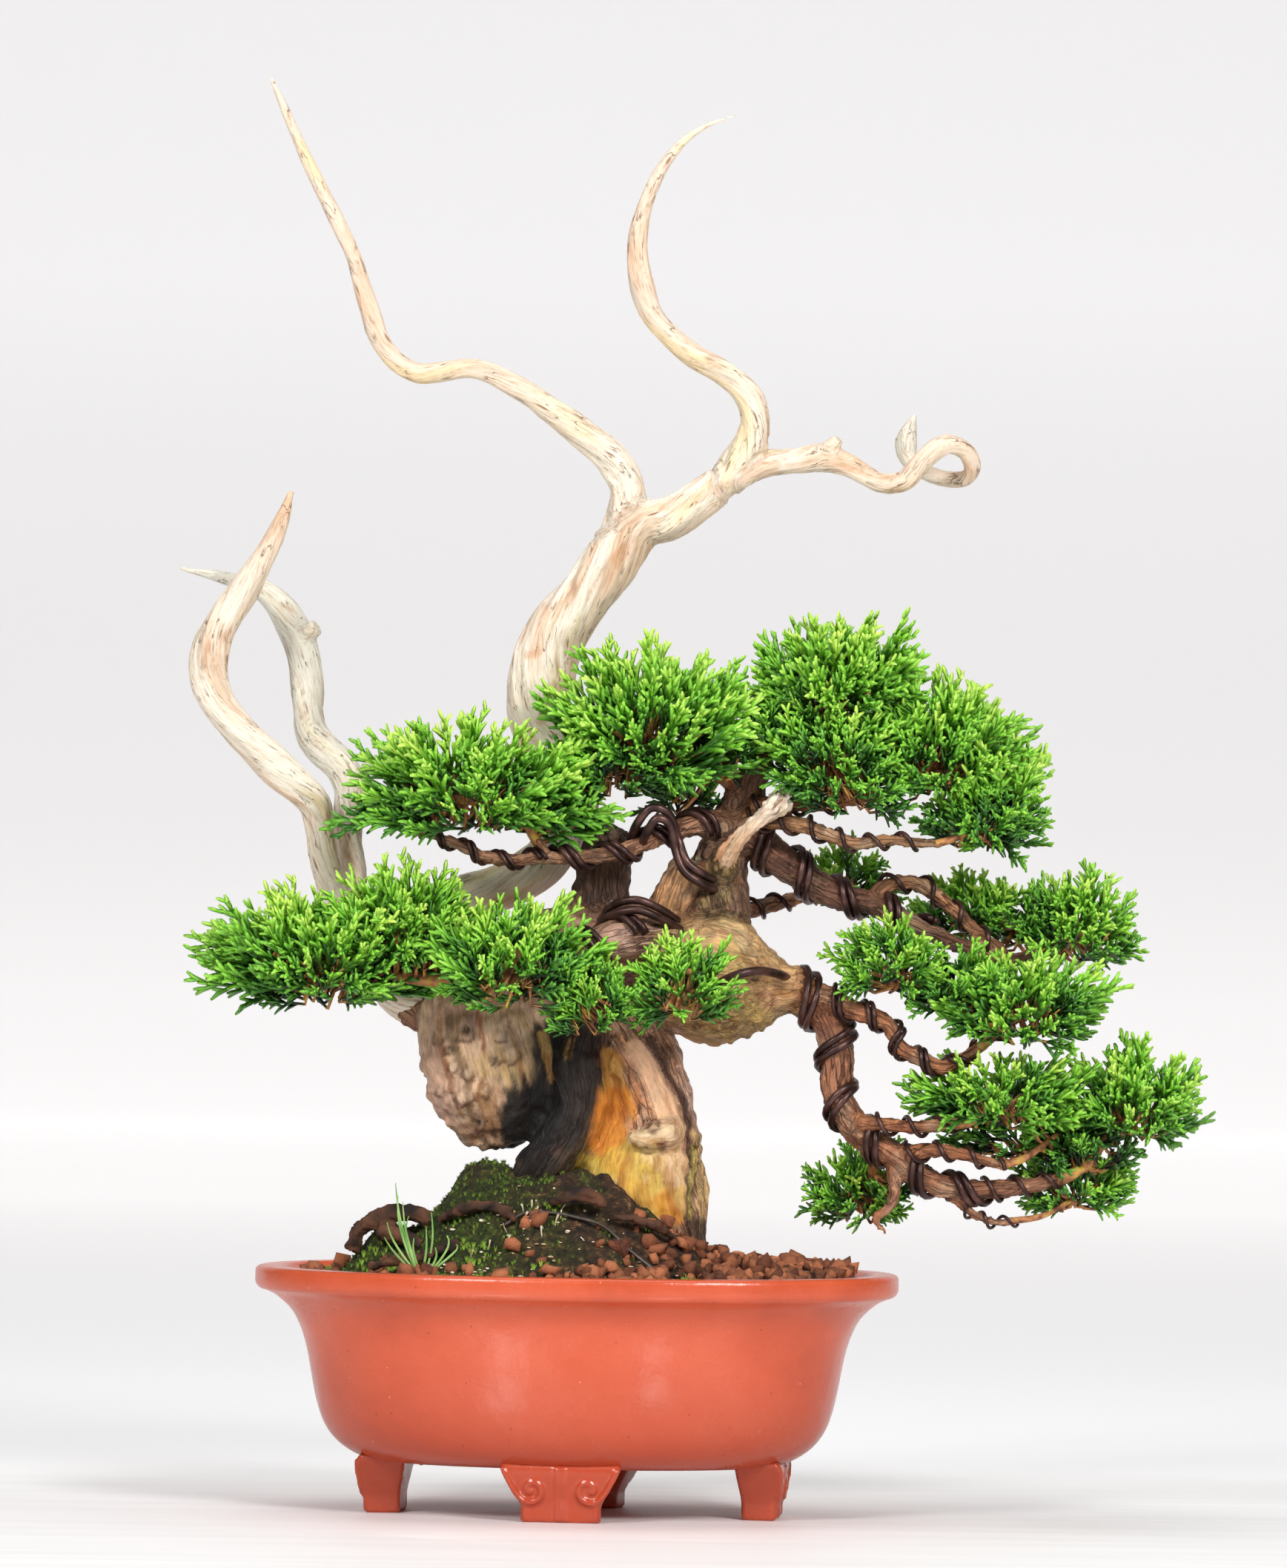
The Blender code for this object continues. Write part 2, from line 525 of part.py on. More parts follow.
def oval_ring(half_width, height, inset=0.0):
    """The corners of the pot's oval at a height."""
    half_depth = half_width * POT_DEPTH_RATIO - (POT_HALF_WIDTH - half_width) * POT_DEPTH_NARROWING
    ring = []
    for k in range(POT_SEGMENTS):
        turn = 2 * math.pi * k / POT_SEGMENTS
        c, s = math.cos(turn), math.sin(turn)
        reach = (abs(c) ** OVAL_POWER + abs(s) ** OVAL_POWER) ** (-1 / OVAL_POWER)
        corner = Vector(((half_width - inset) * reach * c, (half_depth - inset) * reach * s, height))
        ring.append(Matrix.Rotation(POT_TURN, 4, "Z") @ corner)
    return ring


def loft(rings):
    """A closed body through rings of equal count, capped at both ends."""
    bm = bmesh.new()
    loops = [[bm.verts.new(corner) for corner in ring] for ring in rings]
    for low, high in zip(loops, loops[1:]):
        for k in range(len(low)):
            nxt = (k + 1) % len(low)
            bm.faces.new((low[k], low[nxt], high[nxt], high[k]))
    bm.faces.new(loops[0][::-1])
    bm.faces.new(loops[-1])
    bmesh.ops.recalc_face_normals(bm, faces=bm.faces)
    return bm


def foot(x, y, turn):
    """A foot with curved shoulders, wider where it meets the bowl."""
    frame = Matrix.Rotation(POT_TURN, 4, "Z") @ Matrix.Translation((x, y, 0)) @ Matrix.Rotation(turn, 4, "Z")
    rings = []
    for half, height, outer, inner in FOOT_OUTLINE:
        corners = [(-half, outer), (half, outer), (half * 0.86, inner), (-half * 0.86, inner)]
        rings.append([frame @ Vector((a, b, height)) for a, b in corners])
    return loft(rings)


def make_pot():
    """Oval bowl with a rim band and a cove below it, four feet and two drainage holes."""
    outside = [oval_ring(half, height) for half, height in POT_OUTSIDE]
    inside = [oval_ring(half, height) for half, height in POT_INSIDE]
    bowl = loft(outside[::-1] + inside[::-1])
    feet = [
        foot(0, -SIDE_FOOT_Y, 0), foot(0, SIDE_FOOT_Y, math.pi),
        foot(-END_FOOT_X, 0, -math.pi / 2), foot(END_FOOT_X, 0, math.pi / 2),
    ]
    pot = fused("pot", [bowl] + feet, (0.57, 0.09, 0.04), 0.45)
    holes = []
    for side in (-1, 1):
        bm = bmesh.new()
        middle = Matrix.Rotation(POT_TURN, 4, "Z") @ Vector((side * DRAIN_X, 0, FLOOR_Z - 3))
        bmesh.ops.create_cone(
            bm, cap_ends=True, segments=DRAIN_SIDES, radius1=DRAIN_RADIUS, radius2=DRAIN_RADIUS,
            depth=DRAIN_CUT, matrix=Matrix.Translation(middle),
        )
        holes.append(new_object(f"hole_{side}", bm))
    return apply_boolean(pot, "DIFFERENCE", holes, "MANIFOLD")


def make_drain_mesh(name, side):
    """A square of plastic mesh that lies over a drainage hole."""
    frame = Matrix.Rotation(POT_TURN, 4, "Z") @ Matrix.Translation((side * DRAIN_X, 0, FLOOR_Z + GAP))
    bm = bmesh.new()
    squares = 2 * MESH_CELLS + 1
    bmesh.ops.create_grid(bm, x_segments=squares, y_segments=squares, size=MESH_SIZE / 2)
    step = (MESH_SIZE - MESH_BAR) / MESH_CELLS
    starts = [-MESH_SIZE / 2 + i * step for i in range(MESH_CELLS + 1)]
    lines = sorted(starts + [start + MESH_BAR for start in starts])
    for vert in bm.verts:
        i = round((vert.co.x + MESH_SIZE / 2) / MESH_SIZE * squares)
        j = round((vert.co.y + MESH_SIZE / 2) / MESH_SIZE * squares)
        vert.co.x, vert.co.y = lines[i], lines[j]
    half = step / 2
    gone = []
    for face in bm.faces:
        middle = face.calc_center_median()
        cell_x = (middle.x + MESH_SIZE / 2) % step > MESH_BAR
        cell_y = (middle.y + MESH_SIZE / 2) % step > MESH_BAR
        if cell_x and cell_y and max(abs(middle.x), abs(middle.y)) < MESH_SIZE / 2 - half / 4:
            gone.append(face)
    bmesh.ops.delete(bm, geom=gone, context="FACES")
    top = bmesh.ops.extrude_face_region(bm, geom=list(bm.faces))
    top_verts = [part for part in top["geom"] if isinstance(part, bmesh.types.BMVert)]
    bmesh.ops.translate(bm, vec=(0, 0, MESH_THICKNESS), verts=top_verts)
    bmesh.ops.recalc_face_normals(bm, faces=bm.faces)
    bm.transform(frame)
    return new_object(name, bm, (0.03, 0.03, 0.03), 0.6)


def soil_height(x, y):
    """The height of the soil's top: nearly level at the rim, with the root mound and its shoulders."""
    height = SOIL_EDGE_Z
    for middle_x, middle_y, half_x, half_y, rise, power in SOIL_BUMPS:
        away = math.hypot((x - middle_x) / half_x, (y - middle_y) / half_y)
        height += rise * math.exp(-(away ** power))
    return height + 1.2 * noise.noise(Vector((x, y, 0)) * 0.11)


def make_soil(rng, holes):
    """Soil that fills the bowl, with its mounded top, larger grains, and the holes that others stand in."""
    floor = FLOOR_Z + 2 * GAP + MESH_THICKNESS
    rings = []
    for half, height in POT_INSIDE:
        if height <= SOIL_EDGE_Z:
            rings.append(oval_ring(half, max(height, floor), GAP + 0.1))
    edge = rings[-1]
    middle = sum(edge, Vector()) / len(edge)
    for share in SOIL_RINGS:
        ring = []
        for corner in edge:
            point = middle + (corner - middle) * share
            ring.append(Vector((point.x, point.y, soil_height(point.x, point.y))))
        rings.append(ring)
    bm = loft(rings)
    cap = max(bm.faces, key=lambda face: (len(face.verts), face.calc_center_median().z))
    top = bmesh.ops.poke(bm, faces=[cap])["verts"][0]
    top.co = Vector((middle.x, middle.y, soil_height(middle.x, middle.y)))
    bodies = [bm]
    while len(bodies) <= GRAINS:
        x, y = rng.uniform(-60, 92), rng.uniform(-58, 48)
        half_depth = 58 * math.sqrt(max(0, 1 - (x / 94) ** 2))
        if abs(y) > half_depth - 4 or (x < 36 and y > -44):
            continue
        size = rng.uniform(*GRAIN_RADIUS)
        grain = bmesh.new()
        turn = Matrix.Rotation(rng.uniform(0, 3), 4, (rng.random(), rng.random(), 1))
        where = Matrix.Translation((x, y, soil_height(x, y) + size * 0.35))
        bmesh.ops.create_cone(
            grain, cap_ends=True, segments=4, radius1=size, radius2=size * 0.8, depth=size * 1.5,
            matrix=where @ turn,
        )
        bodies.append(grain)
    soil = fused("soil", bodies, (0.09, 0.05, 0.02), 0.95)
    return apply_boolean(soil, "DIFFERENCE", holes, "MANIFOLD")


def make_grass():
    """Five narrow blades from one small crown."""
    x, y = GRASS_FOOT
    foot_z = soil_height(x, y)
    crown = [(Vector((x, y, foot_z - 4)), 1.0), (Vector((x, y, foot_z + 2)), 1.0)]
    bodies = [tube(crown, GRASS_SIDES)]
    for dx, dy, dz, bow in GRASS_BLADES:
        start, end = Vector((x, y, foot_z + 1.8)), Vector((x + dx, y + dy, foot_z + dz))
        steps = []
        for share, radius in ((0, 0.6), (0.35, 0.62), (0.7, 0.55), (1, 0.42)):
            bend = math.sin(math.pi * share) * bow
            steps.append((start.lerp(end, share) + Vector((bend, 0, abs(bend) * 0.6)), radius))
        bodies.append(tube(steps, 4))
    fused("grass_tuft", bodies, (0.11, 0.35, 0.04), 0.6)
    return crown


def widened(run, gap, first_end=False, last_end=False):
    """A run with a gap added all round, and past the ends that are asked for."""
    wider = [(point, radius + gap) for point, radius in run]
    if first_end:
        way = (run[0][0] - run[1][0]).normalized()
        wider[0] = (run[0][0] + way * gap, wider[0][1])
    if last_end:
        way = (run[-1][0] - run[-2][0]).normalized()
        wider[-1] = (run[-1][0] + way * gap, wider[-1][1])
    return wider


def hole_cutters(crown):
    """The plain holes in the soil that the column, the strap and the grass stand in."""
    skin = {}
    for key in ("column", "strap"):
        skin[key] = [(point, radius * (1 + WOOD_RIPPLE)) for point, radius in placed(WOOD[key])]
    return [
        new_object("hole_column", tube(widened(skin["column"], GAP, first_end=True))),
        new_object("hole_strap", tube(widened(skin["strap"], GAP, last_end=True))),
        new_object("hole_grass", tube(widened(crown, GAP, first_end=True), GRASS_SIDES)),
    ]


def make_soil_wire(solids):
    """The thin wire that lies along the front of the mound."""
    run = []
    for x, y in SOIL_WIRE_ROUTE:
        middle_z = soil_height(x, y) + SOIL_WIRE_RADIUS + SOIL_WIRE_LIFT
        run.append((Vector((x, y, middle_z)), SOIL_WIRE_RADIUS))
    solids.add("soil_wire", run)
    return new_object("soil_wire", tube(run, 5), (0.2, 0.19, 0.18), 0.5)


def make_wood(name, routes, ripple, colour, roughness, solids):
    """Round bars along routes, joined to one body."""
    bodies = []
    for route_name, route in routes.items():
        run = seated(route, SEATS[route_name]) if route_name in SEATS else placed(route)
        bodies.append(tube(run, ripple=ripple, flatten=FLAT_WOOD.get(route_name, 1)))
        solids.add(name, run, 1 + ripple)
    return fused(name, bodies, colour, roughness)


def wire_run(wood, first, last, radius, rise, start_angle, nearer):
    """A coil round a run of wood, clear of its skin all the way."""
    run = placed(WOOD[wood])
    points = [point for point, _ in run]
    frames = cross_frames(points)
    lengths = [0.0]
    for a, b in zip(points, points[1:]):
        lengths.append(lengths[-1] + (b - a).length)
    steps = int((last - first) / rise * WIRE_POINTS_PER_TURN)
    made = []
    for i in range(steps + 1):
        along = first + (last - first) * i / steps
        k = max(j for j in range(len(points) - 1) if lengths[j] <= along)
        share = min(1, (along - lengths[k]) / (lengths[k + 1] - lengths[k]))
        middle = points[k].lerp(points[k + 1], share)
        thick = run[k][1] + (run[k + 1][1] - run[k][1]) * share
        side = frames[k][1].lerp(frames[k + 1][1], share).normalized()
        other = frames[k][2].lerp(frames[k + 1][2], share).normalized()
        clear = thick * (1 + WOOD_RIPPLE) + radius + GAP
        reach = clear / math.cos(math.pi / WIRE_POINTS_PER_TURN) - nearer
        turn = start_angle + 2 * math.pi * (along - first) / rise
        made.append((middle + (side * math.cos(turn) + other * math.sin(turn)) * reach, radius))
    return made


def sphere_way(i, count):
    """The i-th of count directions spread evenly over a ball, but for its very bottom."""
    up = 1 - (1 - LOWEST_SHOOT) * (i + 0.5) / count
    flat = math.sqrt(1 - up * up)
    return Vector((flat * math.cos(GOLDEN_TURN * i), flat * math.sin(GOLDEN_TURN * i), up))


def core(middle, halves, rng):
    """The uneven dense heart of a clump, which its shoots stand out of."""
    bm = bmesh.new()
    detail = 2 if halves[0] > WIDE_CLUMP else 1
    turn = Matrix.Rotation(rng.uniform(0, 6), 4, "Z")
    bmesh.ops.create_icosphere(bm, subdivisions=detail, radius=1, matrix=turn)
    for vert in bm.verts:
        vert.co *= rng.uniform(1 - CORE_UNEVEN, 1 + CORE_UNEVEN)
    bm.transform(Matrix.Translation(middle) @ Matrix.Diagonal((*(half * CORE_SHARE for half in halves), 1)))
    return bm


def core_run(middle, halves):
    """A core as a straight run, for keeping other pieces clear of it."""
    half_x, half_y, half_z = (half * CORE_SHARE for half in halves)
    thick = max(half_z, half_y)
    along = Vector((max(half_x - thick, 0.1), 0, 0))
    return [(middle - along, thick), (middle + along, thick)]


def clump(pad, owner, middle, halves, shoots, rng, solids):
    """A core with pointed shoots out to the clump's edge on every side."""
    bodies = [core(middle, halves, rng)]
    solids.add(owner, core_run(middle, halves))
    for i in range(shoots):
        way = sphere_way(i, shoots)
        jitter = Vector([rng.uniform(-SHOOT_JITTER, SHOOT_JITTER) for _ in range(3)])
        aim = (way + jitter + Vector((0, 0, SHOOT_RISE))).normalized()
        reach = rng.uniform(*SHOOT_REACH)
        skin = middle + Vector([w * half * CORE_SHARE * CORE_SKIN for w, half in zip(way, halves)])
        end = middle + Vector([a * half * reach for a, half in zip(aim, halves)])
        start = skin - (end - skin).normalized() * SHOOT_ROOT
        off_others = solids.clearance(skin, end, SHOOT_RADIUS, lambda name: name.startswith(pad))
        if off_others > CLEARANCE:
            bodies.append(needle(start, end, SHOOT_RADIUS, turn=rng.uniform(0, 2)))
            solids.add(owner, [(skin, SHOOT_RADIUS), (end, SHOOT_RADIUS)])
    return bodies


def make_pad(pad, seat, stems, clumps, solids):
    """A leafy stem and the clumps that it carries."""
    rng = random.Random(f"{SEED}{pad}")
    stem_runs = [seated(stems[0], seat)] + [placed(stem) for stem in stems[1:]]
    bodies = [tube(run, 5) for run in stem_runs]
    for run in stem_runs:
        solids.add(pad + "/stem", run)
    free_runs = [stem_runs[0][1:]] + stem_runs[1:]
    joints = []
    for run in free_runs:
        for (a, _), (b, _) in zip(run, run[1:]):
            joints += [a.lerp(b, share) for share in LINK_SHARES]
    for k, (x, y, z, half_x, half_y, half_z, shoots) in enumerate(clumps):
        middle = place(x, y, z)
        nearest = min(joints, key=lambda joint: (joint - middle).length)
        if (nearest - middle).length > half_z * CORE_SHARE * 0.5:
            link = [(nearest, STEM_LINK_RADIUS), (middle, STEM_LINK_RADIUS)]
            bodies.append(tube(link, 5))
            solids.add(pad + "/stem", link)
        bodies += clump(pad, f"{pad}/{k}", middle, (half_x, half_y, half_z), shoots, rng, solids)
    return fused(pad, bodies, (0.05, 0.22, 0.03), 0.6)


def centre_on_floor():
    """Move every piece so that the origin is under the middle of the whole."""
    meshes = [made.data for made in bpy.context.scene.objects if made.type == "MESH"]
    corners = np.array([tuple(vert.co) for mesh in meshes for vert in mesh.vertices])
    low, high = corners.min(axis=0), corners.max(axis=0)
    shift = Matrix.Translation((-(low[0] + high[0]) / 2, -(low[1] + high[1]) / 2, -low[2]))
    for mesh in meshes:
        mesh.transform(shift)


def main():
    for old in list(bpy.data.objects):
        bpy.data.objects.remove(old)
    solids = Solids()
    make_pot()
    make_drain_mesh("drain_mesh_left", -1)
    make_drain_mesh("drain_mesh_right", 1)
    make_wood("trunk", WOOD, WOOD_RIPPLE, (0.32, 0.2, 0.11), 0.8, solids)
    make_wood("deadwood_main", MAIN_JIN, JIN_RIPPLE, (0.83, 0.69, 0.48), 0.7, solids)
    make_wood("deadwood_left", LEFT_JIN, JIN_RIPPLE, (0.8, 0.68, 0.5), 0.7, solids)
    make_wood("deadwood_stub", STUB_JIN, JIN_RIPPLE, (0.85, 0.68, 0.45), 0.7, solids)
    crown = make_grass()
    make_soil(random.Random(SEED), hole_cutters(crown))
    make_soil_wire(solids)
    for name, (wood, *coil) in WIRES.items():
        run = wire_run(wood, *coil)
        solids.add(name, run)
        new_object(name, tube(run, WIRE_SIDES), (0.07, 0.03, 0.025), 0.4)
    for name, (seat, stems, clumps) in PADS.items():
        make_pad(name, seat, stems, clumps, solids)
    centre_on_floor()


main()
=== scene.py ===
"""Fine pieces of a juniper bonsai in an oval clay pot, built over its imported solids.

Shapes are worked out in millimetres, in the frame that the wood's routes are read in, and piece() turns each
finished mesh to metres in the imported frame. Routes and sizes repeat the solids' own.
"""
import math
import random

import bmesh
import bpy
import numpy as np
from bpy.props import FloatProperty, FloatVectorProperty, IntProperty, PointerProperty
from mathutils import Matrix, Vector, noise


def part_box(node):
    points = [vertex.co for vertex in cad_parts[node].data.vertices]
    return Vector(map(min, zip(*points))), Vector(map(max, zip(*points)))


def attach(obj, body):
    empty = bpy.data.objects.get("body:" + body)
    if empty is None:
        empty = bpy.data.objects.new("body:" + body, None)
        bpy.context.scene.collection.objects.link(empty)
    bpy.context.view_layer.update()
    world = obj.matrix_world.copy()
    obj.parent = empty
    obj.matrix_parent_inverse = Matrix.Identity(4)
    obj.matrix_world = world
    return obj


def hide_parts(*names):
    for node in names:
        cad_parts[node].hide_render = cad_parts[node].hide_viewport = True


bl_info = {
    "name": "Juniper bonsai in an oval pot",
    "version": (1, 0, 0),
    "blender": (4, 5, 0),
    "location": "3D View > Sidebar > Bonsai",
    "description": "Builds the fine pieces of a wired juniper bonsai and its clay pot",
    "category": "Object",
}

MM = 0.001
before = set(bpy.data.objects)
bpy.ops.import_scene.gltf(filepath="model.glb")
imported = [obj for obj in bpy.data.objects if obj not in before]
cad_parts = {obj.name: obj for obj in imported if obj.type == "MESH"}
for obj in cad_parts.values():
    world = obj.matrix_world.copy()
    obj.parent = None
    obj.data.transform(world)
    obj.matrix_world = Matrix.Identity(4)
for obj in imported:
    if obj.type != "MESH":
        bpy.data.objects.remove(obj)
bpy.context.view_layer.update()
POT_LOW, POT_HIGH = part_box("pot")
POT_MIDDLE = (POT_LOW + POT_HIGH) / 2
TO_ROW = Matrix.Translation((POT_MIDDLE.x, POT_MIDDLE.y, 0)) @ Matrix.Scale(MM, 4)

# The front view that the routes were read in, and where its picture's middle is
VIEW_DISTANCE = 3000.0
EYE_X = 22.5
EYE_Z = 210.0
VIEW_ROLL = math.radians(0.85)
LEVEL_Z = 82.5
VIEW_CENTRE = (22.5, 246.1)

# Table and backdrop, in metres
BOARD_REACH = 5.6
WALL_HEIGHT = 3.5
COVE_RADIUS = 0.8
COOLER_FROM, COOLER_TO = 0.12, 0.34
GLOW_STOPS = [  # share of the board's reach behind the middle, share of the glow there
    (0.009, 0), (0.046, 0.38), (0.166, 0.47), (0.53, 1), (0.93, 1), (1, 0.75),
]

# Lights, in metres
LIGHT_AIM = Vector((0, 0, 0.2))
LIGHTS = [  # name, place, width, setting that holds its power, share of that power
    ("left_light", (-1.1, -1.7, 1.35), 0.55, "key_power", 0.92),
    ("right_light", (1, -1.8, 1.25), 0.55, "key_power", 1.22),
    ("low_left_light", (-0.095, -0.135, 0.013), 0.022, "low_power", 1),
    ("low_right_light", (0.01, -0.14, 0.013), 0.016, "low_power", 0.65),
    ("top_light", (-0.1, 0.1, 2.1), 1.4, "top_power", 1),
]

# Settings of a colour mix node
BLENDED = {"data_type": "RGBA", "blend_type": "MIX"}
MULTIPLIED = {"data_type": "RGBA", "blend_type": "MULTIPLY"}

# Mesh making
LEAST_RADIUS = 0.15
MERGE_GAP = 0.0005
CHUNK = 2500
GRAIN_STRETCH = 0.13
STORED = {1: ("FLOAT", "value"), 3: ("FLOAT_VECTOR", "vector"), 4: ("FLOAT_COLOR", "color")}

# Spacing of the points along bark, bleached wood and fine runs, and how many sides runs get
BARK_STEP = 2.4
BLEACHED_STEP = 1.6
FINE_STEP = 1.2
THICK_RADIUS = 9
THICK_SIDES = 28
THIN_SIDES = 14
JIN_SIDES = 24
SNAPPED_SIDES = 7
WIRE_SIDES = 10

# Pot
POT_TURN = math.radians(-5.3)
POT_HALF_WIDTH = 108.6
POT_DEPTH_RATIO = 0.667
POT_DEPTH_NARROWING = 0.1
SLIMMEST_OVAL = 0.5
OVAL_POWER = 2.15
FLOOR_Z = 24.5
SOIL_EDGE_Z = 79.0
POT_LIP = [  # half width, height
    (106, 82.5), (107.2, 82.4), (108, 82), (108.5, 81.3), (108.6, 80.2), (108.6, 78.4), (108.6, 77.2),
    (108.3, 76.2), (107.6, 75.3), (106.6, 74.7), (105.6, 74.5),
]
POT_WALL = [
    (104.6, 74.1), (102, 72.9), (99.6, 71), (97, 68.6), (94.8, 65.6), (92.5, 60.4), (90.8, 54.5),
    (89.6, 48.4), (88.4, 42), (87, 36), (84.8, 30), (81.6, 25.2), (77.4, 21.6), (72.2, 18.9),
    (66, 17.5),
]
POT_INNER_LIP = [(100.8, 82.5), (100.0, 82.2), (99.3, 81.6)]
POT_INNER_WALL = [(98.2, 80.6), (96.0, 79.0), (88.0, 66.0), (82.0, 50.0), (78.0, 34.0), (68.0, FLOOR_Z)]
DRAIN_X = 36.0
DRAIN_RADIUS = 7.5
DRAIN_SIDES = 40
DRAIN_CUT = 20
UNDERSIDE = 17.5
# heights over which the pot's painted shade fades out upwards
PAINTED_SHADE_LOW, PAINTED_SHADE_HIGH = 0.018, 0.056  # in metres
DRIPS = [(-51.0, -18.0), (47.0, -22.0)]
DRIP_RADIUS = 1.1
SHARP_ANGLE = math.radians(50)
FOOT_CHAMFER = 1.2
FOOT_INNER_SHARE = 0.86
FOOT_FACES_KEPT = 0.45
FEET = [(0, -37.0, 0.0), (0, 37.0, math.pi), (-63.2, 0, -math.pi / 2), (63.2, 0, math.pi / 2)]
FOOT_RINGS = [  # half width, height, outer face from the foot's middle, inner face from it
    (13.2, 0, -5.7, 5.3), (13.6, 0.5, -6, 5.6), (13.6, 5.6, -6, 5.6), (14.2, 6.8, -6.2, 5.7),
    (15, 8.4, -6.6, 5.9), (16, 10.2, -7, 6.3), (17.2, 12.4, -7.4, 6.7), (18.2, 14.4, -7.9, 7.1),
    (19.4, 16.6, -8.3, 7.5), (20.3, 18.4, -8.2, 7.6), (20.4, 20, -7.2, 7.6),
]
SCROLL = [  # x, y, z and radius of a foot's scroll, from its shoulder inwards
    (19.6, -8.2, 18.2, 0.8), (18.4, -8.2, 15.8, 0.9), (17, -8, 13.2, 0.9), (15.6, -7.6, 10.8, 0.95),
    (14, -7.3, 8.6, 1), (11.8, -7.1, 7, 1), (9.2, -7.1, 6.8, 1), (7, -7.3, 8.2, 0.95),
    (6.2, -7.6, 10.6, 0.9), (7.4, -7.9, 12.9, 0.85), (9.8, -7.9, 13.3, 0.85), (11.4, -7.8, 11.6, 0.8),
    (10.7, -7.6, 9.9, 0.75), (9.4, -7.6, 10.6, 0.7),
]
FOOT_RIB = [(1.0, -6.1, 0.6, 0.75), (1.0, -6.2, 8, 0.75), (1.0, -7.9, 13.5, 0.75), (1.0, -8.4, 18.5, 0.75)]
FOOT_EDGE = [(11.6, -6.1, 0.8, 0.8), (12.2, -6.2, 7.2, 0.7)]

# Soil
SOIL_HALF_WIDTH = 95.4
SOIL_SEGMENTS = 150
FIELD_X, FIELD_Y = 98, 62
GRAIN_RADII = (1.2, 1.6, 2.0, 2.4, 3.0)
GRAIN_KINDS = 8
MOSS_RIGHT_X = 60
MOSS_LEAVES = 6
MOSS_LEAF_RADIUS = 0.42
MOSS_LEAF_LENGTH = 2.2
DRIED_BITS = 130
LOOSE_STALKS = 14
ROOT_VOXEL = 0.7
BLADE_STEPS = ((0, 0.42), (0.3, 0.45), (0.6, 0.38), (0.85, 0.26), (1, 0.1))
SOIL_TOP_RINGS = 66
SOIL_WALL = [(68.0, 26.3), (78.0, 34.0), (82.0, 50.0), (88.0, 66.0), (96.0, SOIL_EDGE_Z)]
OLD_ROOTS = [  # x, y, z, radius along each old root, in the front view
    [(-76, -8, 89, 2.6), (-73.5, -9, 95, 2.9), (-68, -10, 99, 3.1), (-62, -11, 101, 3.2),
     (-55, -12, 101.2, 3), (-49, -12, 99, 3.6)],
    [(-66, -13, 95.5, 3), (-58, -16, 93, 3.4), (-52, -18, 90, 3)],
    [(-10, -34, 105, 1.8), (-3, -36, 107.2, 2.3), (4, -36, 107.4, 2.5), (10, -34, 104.5, 2)],
    [(-70, -30, 83, 2), (-62, -34, 85.4, 2.2), (-50, -36, 87.4, 2), (-40, -36, 91, 1.8)],
    [(-46, -20, 99, 1.6), (-38, -27, 103, 1.9), (-28, -31, 104, 1.6), (-20, -36, 99, 1.4)],
    [(12, -34, 100, 1.2), (22, -32, 99, 1.5), (30, -26, 95, 1.4), (36, -20, 90, 1.2)],
]
DRY_STALKS = [  # x, y, z and how far each leans, in the front view
    (-22, -33, 104, 1.2), (-20.5, -34, 106, -0.8), (-18, -35, 104, 0.6), (-16, -35, 106.5, 1.6),
    (-14, -36, 105, -1.4),
    (-12.5, -36, 103, 0.8), (-17, -37, 100.5, 2), (-11, -37, 101.5, -1), (-23.5, -36, 99.5, -2),
    (-61, -22, 94, 1.4), (-66, -20, 92, -1.2), (-30, -38, 97, 1.8), (3, -40, 96, -1.6), (-36, -40, 93, 1),
]
FINE_BLADES = [
    (-7, 1, 24, -1.6), (-3, -3, 12, -1.5), (4, -1, 9, 2), (11, -2, 10, 5),
    (-12, -3, 17, -2.6), (-9.5, 2, 30, -1.8), (1, -2, 15, 0.8),
]

# Living wood: knots as x, z and size in the front view; zones as a line and a half width there
KNOTS = [
    (-22, 155, 3.4), (-38, 163.5, 4.2), (-46.5, 160.5, 2.6), (-26, 161.5, 2.6), (-27.2, 153, 2.2),
    (-36.8, 148.6, 2.6),
    (-31, 142, 2.2), (-43.5, 157, 2), (-45.5, 143, 1.8), (-38, 141, 3.4), (-33, 132, 2.6),
    (-24.5, 166, 2), (-41, 151, 2), (40.3, 165, 2), (44, 186, 3.4), (52, 176, 3), (38, 174, 2.6),
    (33, 197, 2.8), (46, 203, 2.6), (60, 182, 2.4), (26, 130, 2.4), (38, 148, 1.6), (88, 158, 2.4),
    (12, 206, 2.6), (49, 214, 2.4), (72, 219, 2.2), (96, 128, 2.2), (108, 121, 2), (50, 168, 2.4),
]
WARTY_ZONES = [(-48, 150, -40, 127, 7), (-38, 126, -28, 121, 6), (44, 162, 60, 166, 5)]
BARK_TONES = {
    "column": "#D8A684", "strap": "#2A1F18", "hollow": "#120D0B", "left_bulb": "#F6CEAC", "saddle": "#BC9078",
    "right_bulb": "#F0BE84", "dark_column": "#70503C", "cut_column": "#D29C70", "limb": "#C69A82",
    "upper_trunk": "#86604A", "stub_seat": "#B0905C", "branch": "#B4744C", "right_upper": "#7E5440",
    "right_upper_fork": "#B88058", "middle": "#AC7250", "upper_right_low": "#B08058", "upper_left": "#B08060",
}
